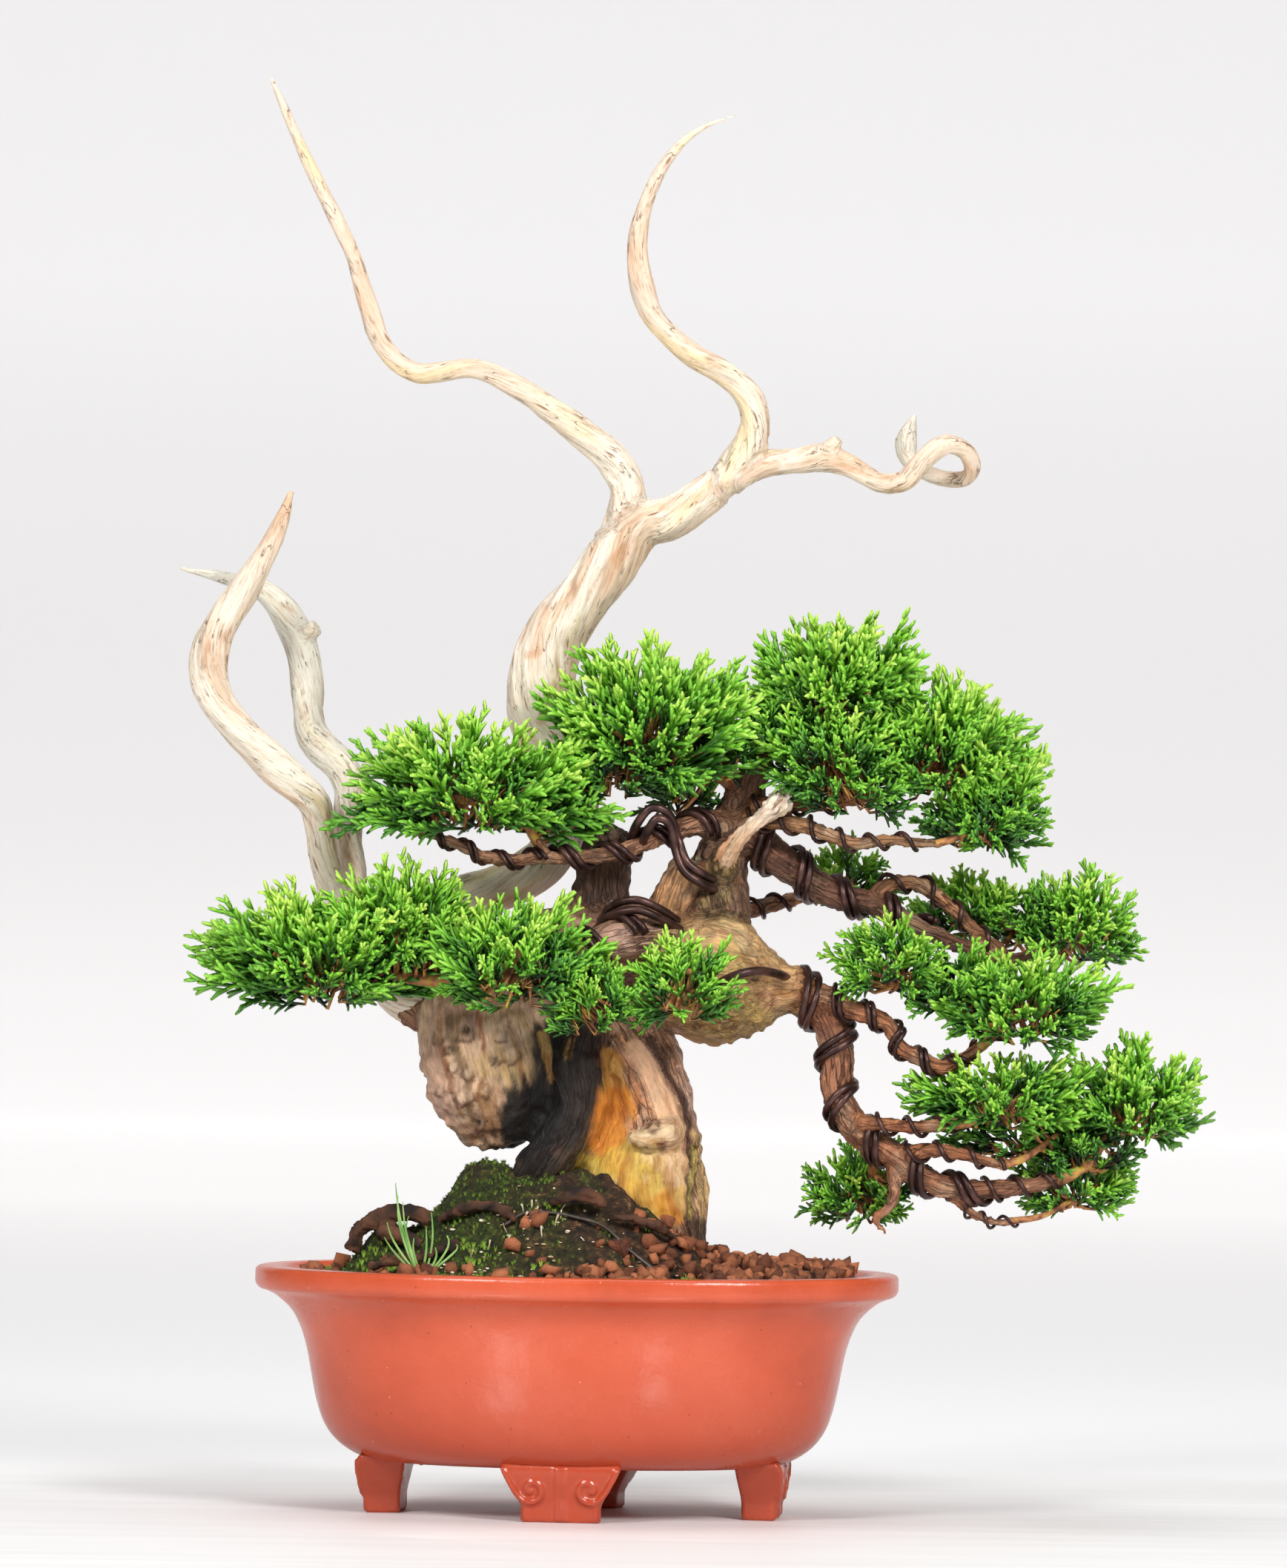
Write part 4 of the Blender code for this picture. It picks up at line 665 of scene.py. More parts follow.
def noise_at(points, scale):
    """Noise from -1 to 1 at each point, for features 1 / scale mm across."""
    return np.array([noise.noise(point) for point in (points * scale).tolist()])


def even_run(run, step):
    """A run's points again, evenly spaced along a smooth curve through them."""
    line = np.array([(*point, radius) for point, radius in run])
    line = np.vstack([2 * line[0] - line[1], line, 2 * line[-1] - line[-2]])
    made = []
    for i in range(1, len(line) - 2):
        a, b, c, d = line[i - 1:i + 3]
        count = max(1, round(np.linalg.norm(c[:3] - b[:3]) / step))
        for k in range(count):
            t = k / count
            bend = (c - a) * t + (2 * a - 5 * b + 4 * c - d) * t ** 2 + (3 * b - a - 3 * c + d) * t ** 3
            made.append(b + bend / 2)
    made.append(line[-2])
    return [(Vector(point[:3]), max(point[3], LEAST_RADIUS)) for point in made]


def cross_frames(points):
    """The direction at each point of a run, with two cross directions that turn as little as they can."""
    steps = [(b - a).normalized() for a, b in zip(points, points[1:])]
    ways = [steps[0]] + [(a + b).normalized() for a, b in zip(steps, steps[1:])] + [steps[-1]]
    side = ways[0].orthogonal().normalized()
    frames = []
    for way in ways:
        side = (side - way * side.dot(way)).normalized()
        frames.append((way, side, way.cross(side)))
    return frames


def rolled(rings):
    """A closed body: a grid rolled up through rings of points, its seam merged and its ends filled."""
    around, along = len(rings[0]), len(rings) - 1
    bm = bmesh.new()
    bmesh.ops.create_grid(bm, x_segments=around, y_segments=along, size=1)
    for vert in bm.verts:
        i = round((vert.co.x + 1) / 2 * around) % around
        vert.co = rings[round((vert.co.y + 1) / 2 * along)][i]
    bmesh.ops.remove_doubles(bm, verts=bm.verts, dist=MERGE_GAP)
    bmesh.ops.holes_fill(bm, edges=bm.edges, sides=0)
    bmesh.ops.recalc_face_normals(bm, faces=bm.faces)
    return bm


def bar(run, sides, flatten=1.0):
    """A closed round bar along a run."""
    rings = []
    for (point, radius), (_, side, other) in zip(run, cross_frames([point for point, _ in run])):
        ring = []
        for k in range(sides):
            turn = 2 * math.pi * k / sides
            offset = (side * math.cos(turn) + other * math.sin(turn)) * radius
            offset.y *= flatten
            ring.append(point + offset)
        rings.append(ring)
    return rolled(rings)


def joined(bodies):
    """One mesh from many bodies."""
    bm = bmesh.new()
    for body in bodies:
        part = bpy.data.meshes.new("part")
        body.to_mesh(part)
        body.free()
        bm.from_mesh(part)
        bpy.data.meshes.remove(part)
    mesh = bpy.data.meshes.new("joined")
    bm.to_mesh(mesh)
    bm.free()
    return mesh


def modified(mesh, kind, **settings):
    """The mesh that a modifier makes of a mesh."""
    holder = bpy.data.objects.new("holder", mesh)
    bpy.context.scene.collection.objects.link(holder)
    modifier = holder.modifiers.new(kind, kind)
    for name, value in settings.items():
        setattr(modifier, name, value)
    graph = bpy.context.evaluated_depsgraph_get()
    made = bpy.data.meshes.new_from_object(holder.evaluated_get(graph))
    bpy.data.objects.remove(holder)
    bpy.data.meshes.remove(mesh)
    return made


def fused(bodies, voxel):
    """One skin over bodies that run into each other, its facets about a voxel across."""
    return modified(joined(bodies), "REMESH", mode="VOXEL", voxel_size=voxel)


def corners(mesh):
    """A mesh's corners as an array."""
    values = np.empty(len(mesh.vertices) * 3)
    mesh.vertices.foreach_get("co", values)
    return values.reshape(-1, 3)


def facing(mesh):
    """The direction that the surface faces at each corner."""
    values = np.empty(len(mesh.vertices) * 3)
    mesh.vertex_normals.foreach_get("vector", values)
    return values.reshape(-1, 3)


def move_corners(mesh, points):
    """Put a mesh's corners at points."""
    mesh.vertices.foreach_set("co", points.ravel())
    mesh.update()


def store(mesh, name, values):
    """Keep a number, vector or colour for each corner, for the mesh's material."""
    kind, key = STORED[values.size // len(values)]
    mesh.attributes.new(name, kind, "POINT").data.foreach_set(key, values.astype(np.float32).ravel())


def spread(mesh, values, rounds):
    """Values at a mesh's corners, each evened out with its neighbours' some times over."""
    pairs = np.empty(len(mesh.edges) * 2, np.int32)
    mesh.edges.foreach_get("vertices", pairs)
    a, b = pairs.reshape(-1, 2).T
    size = len(mesh.vertices)
    count = np.bincount(a, minlength=size) + np.bincount(b, minlength=size)
    for _ in range(rounds):
        near = [np.bincount(a, part[b], size) + np.bincount(b, part[a], size) for part in values.T]
        values = (values + np.column_stack(near)) / (1 + count)[:, None]
    return values


def soften(mesh, chosen, rounds):
    """Smooth the chosen corners of a mesh, which rounds the crotches between its runs."""
    bm = bmesh.new()
    bm.from_mesh(mesh)
    bm.verts.ensure_lookup_table()
    verts = [bm.verts[i] for i in np.flatnonzero(chosen)]
    for _ in range(rounds):
        bmesh.ops.smooth_vert(bm, verts=verts, factor=0.5, use_axis_x=True, use_axis_y=True, use_axis_z=True)
    bm.to_mesh(mesh)
    bm.free()


def piece(name, mesh, material, slot, *nodes):
    """Put a finished mesh in the scene as a piece that rides on the object, in place of its solids."""
    mesh.transform(TO_ROW)
    mesh.shade_smooth()
    mesh.materials.clear()
    mesh.materials.append(material)
    mesh.name = name
    made = bpy.data.objects.new(name, mesh)
    bpy.context.scene.collection.objects.link(made)
    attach(made, "root")
    if nodes:
        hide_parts(*nodes)


class Grain:
    """The straight runs of some wood, and where a point lies round and along the nearest of them."""

    def __init__(self, runs, twist=0.0):
        rows = []
        for number, run in enumerate(runs):
            frames = cross_frames([point for point, _ in run])
            # the grain of a branch runs on from the wood that it grows from
            forks = [((Vector(row[:3]) - run[0][0]).length, row[8]) for row in rows]
            length = min(forks)[1] if forks else 0.0
            for k in range(len(run) - 1):
                (start, r0), (end, r1) = run[k], run[k + 1]
                rows.append((*start, *(end - start), r0, r1, length, *frames[k][1], *frames[k][2], number))
                length += (end - start).length
        self.rows = np.array(rows)
        self.twist = twist

    def at(self, points):
        """Each point's place round and along the grain, the wood's radius there, and its run's number."""
        starts, steps = self.rows[:, :3], self.rows[:, 3:6]
        square = np.maximum((steps ** 2).sum(axis=1), 1e-9)
        grain, thick, number, gap = [], [], [], []
        for chunk in np.array_split(points, max(1, len(points) // CHUNK)):
            away = chunk[:, None, :] - starts
            share = np.clip((away * steps).sum(axis=2) / square, 0, 1)
            across = away - share[:, :, None] * steps
            radius = self.rows[:, 6] + (self.rows[:, 7] - self.rows[:, 6]) * share
            off = np.linalg.norm(across, axis=2) - radius
            best = off.argmin(axis=1)
            every = np.arange(len(chunk))
            row, across = self.rows[best], across[every, best]
            along = row[:, 8] + share[every, best] * np.sqrt(square[best])
            u, v = (across * row[:, 9:12]).sum(axis=1), (across * row[:, 12:15]).sum(axis=1)
            turn = along * self.twist
            x, y = u * np.cos(turn) - v * np.sin(turn), u * np.sin(turn) + v * np.cos(turn)
            grain.append(np.column_stack([x, y, along * GRAIN_STRETCH]))
            thick.append(radius[every, best])
            number.append(row[:, 15])
            gap.append(off[every, best])
        return np.vstack(grain), np.concatenate(thick), np.concatenate(number), np.concatenate(gap)


def linear(code):
    """An sRGB hex colour as linear red, green and blue with full alpha."""
    parts = [int(code[i:i + 2], 16) / 255 for i in (1, 3, 5)]
    return (*[p / 12.92 if p <= 0.04045 else ((p + 0.055) / 1.055) ** 2.4 for p in parts], 1.0)


def colour(name, description, code):
    """A colour that a user may change."""
    return FloatVectorProperty(
        name=name, description=description, subtype="COLOR", size=4, min=0, max=1, default=linear(code),
    )


def length(name, description, size):
    """A length that a user may change, given in millimetres."""
    return FloatProperty(name=name, description=description, unit="LENGTH", default=size * MM, precision=5)


def count(name, description, number):
    """A number of like things that a user may change."""
    return IntProperty(name=name, description=description, min=0, default=number)


def wattage(name, description, watts):
    """A light's power that a user may change."""
    return FloatProperty(name=name, description=description, unit="POWER", min=0, default=watts)


class BonsaiStage(bpy.types.PropertyGroup):
    floor: colour("Floor", "Colour of the pale table", "#F1F0F0")
    backdrop: colour("Backdrop", "Colour of the paper behind", "#E9E9EB")
    lens: length("Lens", "Focal length of the camera", 204.2)
    key_power: wattage("Key light", "Power of each front light", 31)
    top_power: wattage("Top light", "Power of the top light", 18)
    low_power: wattage("Low lights", "Power of each small light on the table", 0.0065)
    sky: FloatProperty(name="Sky", description="Strength of the even light from all round", default=0.12)
    glow: FloatProperty(
        name="Backdrop light", description="Light that the paper behind gives off", default=0.62,
    )


class BonsaiPot(bpy.types.PropertyGroup):
    clay: colour("Clay", "Fired clay", "#CC5736")
    clay_light: colour("Light clay", "Paler patches", "#D66A4C")
    # the dark clay is also painted over the lower wall as shade
    clay_dark: colour("Dark clay", "Damp and shaded patches", "#A83F24")
    speck: colour("Specks", "Iron specks", "#6E2A1C")
    grit: colour("Grit", "Pale grit", "#EBC7A8")
    segments: count("Segments", "Points round the oval", 144)
    foot_voxel: length("Foot detail", "Size of the feet's finest facets", 0.78)


class BonsaiSoil(bpy.types.PropertyGroup):
    loam: colour("Loam", "Damp soil", "#4A3220")
    loam_dark: colour("Dark loam", "Wet soil in hollows", "#17100A")
    moss: colour("Moss", "Moss in the light", "#8CB038")
    moss_dark: colour("Dark moss", "Old moss", "#37400F")
    akadama: colour("Akadama", "Fired clay grain", "#B8704A")
    akadama_dark: colour("Wet akadama", "Damp grain", "#4A2414")
    lumps: count("Grains", "Number of clay grains", 620)
    moss_tufts: count("Moss tufts", "Number of moss tufts", 2600)


class BonsaiWood(bpy.types.PropertyGroup):
    bark_dark: colour("Crevices", "Depths of the furrows", "#33211A")
    voxel: length("Detail", "Size of the bark's finest facets", 1.1)
    bleached: colour("Bleached wood", "Silvered wood in the light", "#FFF3E0")
    peach: colour("Peach stain", "Warm stain on the bleached wood", "#F8D9BC")
    straw: colour("Straw stain", "Yellow stain on the bleached wood", "#FAE6BC")
    # this colour is painted over the down- and right-facing sides as shade, and over the stains
    shaded: colour("Shaded wood", "Browner wood on the sheltered sides", "#DDA67A")
    weathered: colour("Weathered wood", "Grey wood at the back", "#DCDDD0")
    crack: colour("Cracks", "Depths of the grain", "#B98A60")
    bleached_voxel: length("Bleached detail", "Size of the finest facets", 0.88)


class BonsaiWire(bpy.types.PropertyGroup):
    wire: colour("Wire", "Brown anodised skin", "#3A2623")
    wire_worn: colour("Worn wire", "Where the skin is rubbed", "#6E4C45")
    soil_wire: colour("Grey wire", "Thin wire on the mound", "#524A44")


class BonsaiFoliage(bpy.types.PropertyGroup):
    tip: colour("Tips", "New growth", "#CDEC66")
    young: colour("Young leaf", "This year's shoots", "#86CA38")
    middle: colour("Leaf", "Grown shoots", "#478628")
    # the old-leaf colour also serves as painted shade on inner, lower and back-facing shoots
    old: colour("Old leaf", "Inner shoots", "#172E16")
    bloom: colour("Bloom", "Pale wax on the scales", "#A9C4A6")
    twig: colour("Twigs", "Bark of the leafy twigs", "#B77B4C")
    twig_young: colour("Young twigs", "Yellow twigs under the tips", "#C9A63E")
    blade: colour("Grass", "Blades of grass", "#A4CC78")
    spray_area: FloatProperty(
        name="Spray area", description="Square mm of a pad's skin for each spray", default=82, min=10,
    )


def shader_socket(material, key):
    """A socket of a material's shader by its name, with _ for a space."""
    return material.node_tree.nodes["Principled BSDF"].inputs[key.replace("_", " ")]


def new_material(name, **values):
    """A named material with plain values on its shader, its node tree and the piece's own coordinates."""
    material = bpy.data.materials.new(name)
    material.use_nodes = True
    for key, value in values.items():
        shader_socket(material, key).default_value = value
    return material, material.node_tree, add(material.node_tree, "TexCoord").outputs["Object"]


def finished(material, **sources):
    """The material, once its shader's sockets are joined to what makes their patterns."""
    for key, source in sources.items():
        join(material.node_tree, source, shader_socket(material, key))
    return material


def join(tree, source, socket):
    """Join an output, or a node's first output, to a socket."""
    tree.links.new(source.outputs[0] if isinstance(source, bpy.types.Node) else source, socket)


def add(tree, kind, inputs=None, stops=None, **settings):
    """Add a node with its settings and colour stops, and give each input a value or join it to a node."""
    made = tree.nodes.new("ShaderNode" + kind)
    for name, value in settings.items():
        setattr(made, name, value)
    for key, value in (inputs or {}).items():
        if isinstance(value, (bpy.types.Node, bpy.types.NodeSocket)):
            join(tree, value, made.inputs[key])
        else:
            made.inputs[key].default_value = value
    if stops:
        stops = [(at, grey(tint) if isinstance(tint, (int, float)) else tint) for at, tint in stops]
        elements = made.color_ramp.elements
        elements[0].position, elements[0].color = stops[0]
        elements[1].position, elements[1].color = stops[-1]
        for position, tint in stops[1:-1]:
            elements.new(position).color = tint
    return made


def grey(value):
    """A neutral colour."""
    return (value, value, value, 1.0)


def clay_material(pot):
    """Unglazed stoneware, pressed in a mould and burnished: a low sheen, faint hand marks, iron specks."""
    material, tree, where = new_material("burnished_stoneware", Roughness=0.3)
    cloud = add(tree, "TexNoise", {"Vector": where, "Scale": 26.0, "Detail": 5.0, "Roughness": 0.6})
    broad = add(tree, "ValToRGB", {0: cloud}, [
        (0.28, pot.clay_dark), (0.5, pot.clay), (0.72, pot.clay_light),
    ])
    fine = add(tree, "TexNoise", {"Vector": where, "Scale": 700.0, "Detail": 3.0})
    fine_tone = add(tree, "ValToRGB", {0: fine}, [(0.3, 0.9), (0.7, 1.0)])
    tone = add(tree, "Mix", {0: 1.0, 6: broad, 7: fine_tone}, **MULTIPLIED).outputs[2]
    base = add(tree, "Mix", {0: 0.45, 6: pot.clay, 7: tone}, **BLENDED).outputs[2]
    # the clay is painted darker low down on the wall, as shade
    low_shade = add(tree, "SeparateXYZ", {0: where}).outputs[2]
    low_shade = add(tree, "MapRange", {0: low_shade, 1: PAINTED_SHADE_LOW, 2: PAINTED_SHADE_HIGH, 3: 0.75, 4: 0.0})
    base = add(tree, "Mix", {0: low_shade, 6: base, 7: pot.clay_dark}, **BLENDED).outputs[2]
    iron = add(tree, "TexVoronoi", {"Vector": where, "Scale": 150.0})
    iron_spot = add(tree, "ValToRGB", {0: iron}, [(0.03, 0.75), (0.065, 0.0)])
    base = add(tree, "Mix", {0: iron_spot, 6: base, 7: pot.speck}, **BLENDED).outputs[2]
    shifted = add(tree, "Mapping", {"Vector": where, "Location": (0.13, 0.41, 0.27)})
    grit = add(tree, "TexVoronoi", {"Vector": shifted, "Scale": 110.0})
    grit_spot = add(tree, "ValToRGB", {0: grit}, [(0.018, 0.5), (0.036, 0.0)])
    base = add(tree, "Mix", {0: grit_spot, 6: base, 7: pot.grit}, **BLENDED).outputs[2]
    sheen = add(tree, "MapRange", {0: cloud, 1: 0.3, 2: 0.7, 3: 0.2, 4: 0.3})
    press = add(tree, "TexNoise", {"Vector": where, "Scale": 75.0, "Detail": 2.0})
    hollow = add(tree, "Bump", {"Height": press, "Distance": 0.0013, "Strength": 0.4})
    grain = add(tree, "Bump", {
        "Height": fine, "Distance": 0.00012, "Strength": 0.6, "Normal": hollow,
    })
    return finished(material, Base_Color=base, Roughness=sheen, Normal=grain)


def bark_material(wood):
    """Living juniper bark, partly rubbed smooth: long fibres, dark furrows, flaking edges."""
    material, tree, where = new_material("juniper_bark", Roughness=0.56)
    grain = add(tree, "Attribute", attribute_name="grain").outputs["Vector"]
    tint = add(tree, "Attribute", attribute_name="tint").outputs["Color"]
    furrow = add(tree, "Attribute", attribute_name="furrow").outputs["Fac"]
    fibre = add(tree, "TexNoise", {"Vector": grain, "Scale": 0.9, "Detail": 6.0, "Roughness": 0.68})
    bare = add(tree, "Attribute", attribute_name="bare").outputs["Fac"]
    fibre_tone = add(tree, "ValToRGB", {0: fibre}, [
        (0.3, 0.32), (0.44, 0.8), (0.6, 1.05), (0.78, 1.5),
    ])
    calm = add(tree, "Math", {0: bare, 1: 0.3}, operation="MULTIPLY")
    toned = add(tree, "Mix", {0: calm, 6: fibre_tone, 7: grey(1.0)}, **BLENDED).outputs[2]
    streak = add(tree, "TexNoise", {"Vector": grain, "Scale": 0.22, "Detail": 2.0})
    streak_tone = add(tree, "ValToRGB", {0: streak}, [
        (0.32, linear("#D8C0A8")), (0.5, 0.95), (0.68, linear("#FFFBEE")),
    ])
    toned = add(tree, "Mix", {0: 1.0, 6: toned, 7: streak_tone}, **MULTIPLIED).outputs[2]
    base = add(tree, "Mix", {0: 1.0, 6: tint, 7: toned}, **MULTIPLIED).outputs[2]
    scurf = add(tree, "TexNoise", {"Vector": where, "Scale": 380.0, "Detail": 3.0, "Roughness": 0.6})
    # pale flecks on the rough bark: partly pale flakes, partly painted highlights
    pale_flecks_and_highlights = add(tree, "ValToRGB", {0: scurf}, [(0.56, 0.0), (0.7, 0.6)])
    rough_share = add(tree, "Math", {0: 1.0, 1: bare}, operation="SUBTRACT")
    flecks_and_highlight_share = add(tree, "Math", {0: pale_flecks_and_highlights, 1: rough_share}, operation="MULTIPLY")
    pale = add(tree, "Mix", {0: 1.0, 6: tint, 7: grey(1.9)}, **MULTIPLIED).outputs[2]
    base = add(tree, "Mix", {0: flecks_and_highlight_share, 6: base, 7: pale}, **BLENDED).outputs[2]
    flake = add(tree, "TexVoronoi", {"Vector": grain, "Scale": 0.36}, feature="DISTANCE_TO_EDGE")
    edge = add(tree, "ValToRGB", {0: flake}, [(0.0, 0.5), (0.06, 0.0)])
    edge_share = add(tree, "Math", {0: edge, 1: rough_share}, operation="MULTIPLY")
    base = add(tree, "Mix", {0: edge_share, 6: base, 7: wood.bark_dark}, **BLENDED).outputs[2]
    split = add(tree, "TexNoise", {"Vector": grain, "Scale": 0.3, "Detail": 4.0, "Roughness": 0.6})
    gap = add(tree, "ValToRGB", {0: split}, [
        (0.465, 0.0), (0.492, 0.85), (0.508, 0.85), (0.535, 0.0),
    ])
    where_split = add(tree, "TexNoise", {"Vector": where, "Scale": 70.0, "Detail": 2.0})
    here = add(tree, "ValToRGB", {0: where_split}, [(0.4, 0.15), (0.6, 1.0)])
    gap = add(tree, "Math", {0: gap, 1: here}, operation="MULTIPLY")
    less = add(tree, "MapRange", {0: bare, 1: 0.0, 2: 0.8, 3: 1.0, 4: 0.12})
    gap = add(tree, "Math", {0: gap, 1: less}, operation="MULTIPLY")
    darker = add(tree, "Mix", {0: 1.0, 6: tint, 7: linear("#6E4A38")}, **MULTIPLIED).outputs[2]
    base = add(tree, "Mix", {0: gap, 6: base, 7: darker}, **BLENDED).outputs[2]
    depth = add(tree, "Math", {0: furrow, 1: 0.8}, operation="MULTIPLY")
    base = add(tree, "Mix", {0: depth, 6: base, 7: wood.bark_dark}, **BLENDED).outputs[2]
    height = add(tree, "Math", {0: fibre, 1: edge_share}, operation="SUBTRACT")
    height = add(tree, "Math", {0: height, 1: gap}, operation="SUBTRACT")
    height = add(tree, "Math", {0: scurf, 1: 0.6, 2: height}, operation="MULTIPLY_ADD")
    bump = add(tree, "Bump", {"Height": height, "Distance": 0.001, "Strength": 0.9})
    return finished(material, Base_Color=base, Normal=bump)


def bleached_material(wood):
    """Bleached juniper heartwood, scraped and dried: silky, with twisted fibres and warm stains."""
    material, tree, where = new_material("bleached_juniper_wood", Roughness=0.55)
    grain = add(tree, "Attribute", attribute_name="grain").outputs["Vector"]
    furrow = add(tree, "Attribute", attribute_name="furrow").outputs["Fac"]
    weathered = add(tree, "Attribute", attribute_name="weathered").outputs["Fac"]
    stain = add(tree, "TexNoise", {"Vector": grain, "Scale": 0.13, "Detail": 3.0})
    stained = add(tree, "ValToRGB", {0: stain}, [
        (0.34, wood.straw), (0.44, wood.bleached), (0.54, wood.bleached),
        (0.64, wood.peach),
    ])
    # the warm attribute carries painted shade on the down- and right-facing sides, together with real stains
    warm = add(tree, "Attribute", attribute_name="warm").outputs["Fac"]
    shade_and_stain_share = add(tree, "Math", {0: warm, 1: stain}, operation="MULTIPLY")
    shade_and_stain_share = add(tree, "Math", {0: shade_and_stain_share, 1: 1.3}, operation="MULTIPLY", use_clamp=True)
    base = add(tree, "Mix", {0: shade_and_stain_share, 6: stained, 7: wood.shaded}, **BLENDED).outputs[2]
    base = add(tree, "Mix", {0: weathered, 6: base, 7: wood.weathered}, **BLENDED).outputs[2]
    fibre = add(tree, "TexNoise", {"Vector": grain, "Scale": 1.3, "Detail": 6.0, "Roughness": 0.65})
    line = add(tree, "ValToRGB", {0: fibre}, [(0.3, 0.7), (0.42, 0.22), (0.52, 0.0)])
    base = add(tree, "Mix", {0: line, 6: base, 7: wood.crack}, **BLENDED).outputs[2]
    split = add(tree, "TexNoise", {"Vector": grain, "Scale": 0.5, "Detail": 3.0})
    gap = add(tree, "ValToRGB", {0: split}, [
        (0.484, 0.0), (0.496, 0.75), (0.504, 0.75), (0.516, 0.0),
    ])
    worn = add(tree, "TexNoise", {"Vector": where, "Scale": 120.0, "Detail": 2.0})
    here = add(tree, "ValToRGB", {0: worn}, [(0.5, 0.0), (0.6, 1.0)])
    gap = add(tree, "Math", {0: gap, 1: here}, operation="MULTIPLY")
    base = add(tree, "Mix", {0: gap, 6: base, 7: linear("#8E6440")}, **BLENDED).outputs[2]
    pits = add(tree, "TexVoronoi", {"Vector": grain, "Scale": 0.33})
    pit = add(tree, "ValToRGB", {0: pits}, [(0.07, 0.85), (0.15, 0.0)])
    base = add(tree, "Mix", {0: pit, 6: base, 7: linear("#8A5C3A")}, **BLENDED).outputs[2]
    base = add(tree, "Mix", {0: furrow, 6: base, 7: wood.crack}, **BLENDED).outputs[2]
    patch = add(tree, "TexNoise", {"Vector": where, "Scale": 90.0, "Detail": 4.0})
    tone = add(tree, "ValToRGB", {0: patch}, [(0.3, 0.95), (0.6, 1.0)])
    base = add(tree, "Mix", {0: 1.0, 6: base, 7: tone}, **MULTIPLIED).outputs[2]
    height = add(tree, "Math", {0: fibre, 1: gap}, operation="SUBTRACT")
    bump = add(tree, "Bump", {"Height": height, "Distance": 0.0009, "Strength": 0.9})
    return finished(material, Base_Color=base, Normal=bump)


def wire_material(name, skin, worn):
    """Soft anodised aluminium wire: a dull metal skin with rubbed, lighter patches."""
    material, tree, where = new_material(name, Roughness=0.38, Metallic=0.55)
    rub = add(tree, "TexNoise", {"Vector": where, "Scale": 160.0, "Detail": 3.0})
    tone = add(tree, "ValToRGB", {0: rub}, [(0.45, skin), (0.75, worn)])
    scratch = add(tree, "TexNoise", {"Vector": where, "Scale": 1500.0, "Detail": 2.0})
    bump = add(tree, "Bump", {"Height": scratch, "Distance": 0.0001, "Strength": 0.4})
    return finished(material, Base_Color=tone, Normal=bump)


def leaf_material(foliage):
    """Juniper scale leaves: waxy, darker and bluer as they get older, yellow-green at the growing tips, with
    light and shade painted in from each spray's shade.
    """
    material, tree, where = new_material("juniper_scale_leaf", Roughness=0.4)
    tip = add(tree, "Attribute", attribute_name="tip").outputs["Fac"]
    shade = add(tree, "Attribute", attribute_name="shade").outputs["Fac"]
    # the shade attribute paints light and shade into the leaf colour, mixed with how near each shoot's tip is
    age_and_shade = add(tree, "Math", {0: tip, 1: 0.62, 2: -0.12}, operation="MULTIPLY_ADD")
    age_and_shade = add(tree, "Math", {0: shade, 1: 0.52, 2: age_and_shade}, operation="MULTIPLY_ADD")
    mottle = add(tree, "TexNoise", {"Vector": where, "Scale": 420.0, "Detail": 2.0})
    age_and_shade = add(tree, "Math", {0: mottle, 1: 0.3, 2: age_and_shade}, operation="MULTIPLY_ADD")
    age_and_shade = add(tree, "Math", {0: age_and_shade, 1: 0.15}, operation="SUBTRACT")
    tone = add(tree, "ValToRGB", {0: age_and_shade}, [
        (0.08, foliage.old), (0.36, foliage.middle), (0.64, foliage.young),
        (0.94, foliage.tip),
    ])
    # scales are about 1 mm long
    scales = add(tree, "TexVoronoi", {"Vector": where, "Scale": 1000.0})
    rim = add(tree, "ValToRGB", {0: scales}, [(0.1, 0.26), (0.34, 0.0)])
    old_and_shaded_share = add(tree, "Math", {0: 1.0, 1: shade}, operation="SUBTRACT")
    wax = add(tree, "Math", {0: rim, 1: old_and_shaded_share}, operation="MULTIPLY")
    tone = add(tree, "Mix", {0: wax, 6: tone, 7: foliage.bloom}, **BLENDED).outputs[2]
    bump = add(tree, "Bump", {"Height": scales, "Distance": 0.0003, "Strength": 0.7}, invert=True)
    return finished(material, Base_Color=tone, Normal=bump)


def twig_material(foliage):
    """Young juniper bark: thin orange-brown flakes, yellow where it is new."""
    material, tree, where = new_material("young_juniper_bark", Roughness=0.7)
    patch = add(tree, "TexNoise", {"Vector": where, "Scale": 300.0, "Detail": 4.0})
    tone = add(tree, "ValToRGB", {0: patch}, [
        (0.32, linear("#6E4128")), (0.5, foliage.twig), (0.7, foliage.twig_young),
    ])
    bump = add(tree, "Bump", {"Height": patch, "Distance": 0.0004, "Strength": 0.8})
    return finished(material, Base_Color=tone, Normal=bump)


def loam_material(soil):
    """Damp soil and fine roots, with old moss on its upper side: matt and crumbly."""
    material, tree, where = new_material("mossy_loam", Roughness=0.92)
    crumb = add(tree, "TexNoise", {"Vector": where, "Scale": 330.0, "Detail": 7.0, "Roughness": 0.7})
    earth = add(tree, "ValToRGB", {0: crumb}, [
        (0.38, soil.loam_dark), (0.56, soil.loam), (0.68, linear("#9A7248")),
    ])
    green = add(tree, "ValToRGB", {0: crumb}, [
        (0.36, linear("#131A08")), (0.55, soil.moss_dark), (0.72, linear("#5C7F22")),
    ])
    mossy = add(tree, "Attribute", attribute_name="mossy").outputs["Fac"]
    base = add(tree, "Mix", {0: mossy, 6: earth, 7: green}, **BLENDED).outputs[2]
    bump = add(tree, "Bump", {"Height": crumb, "Distance": 0.002, "Strength": 1.0})
    return finished(material, Base_Color=base, Normal=bump)


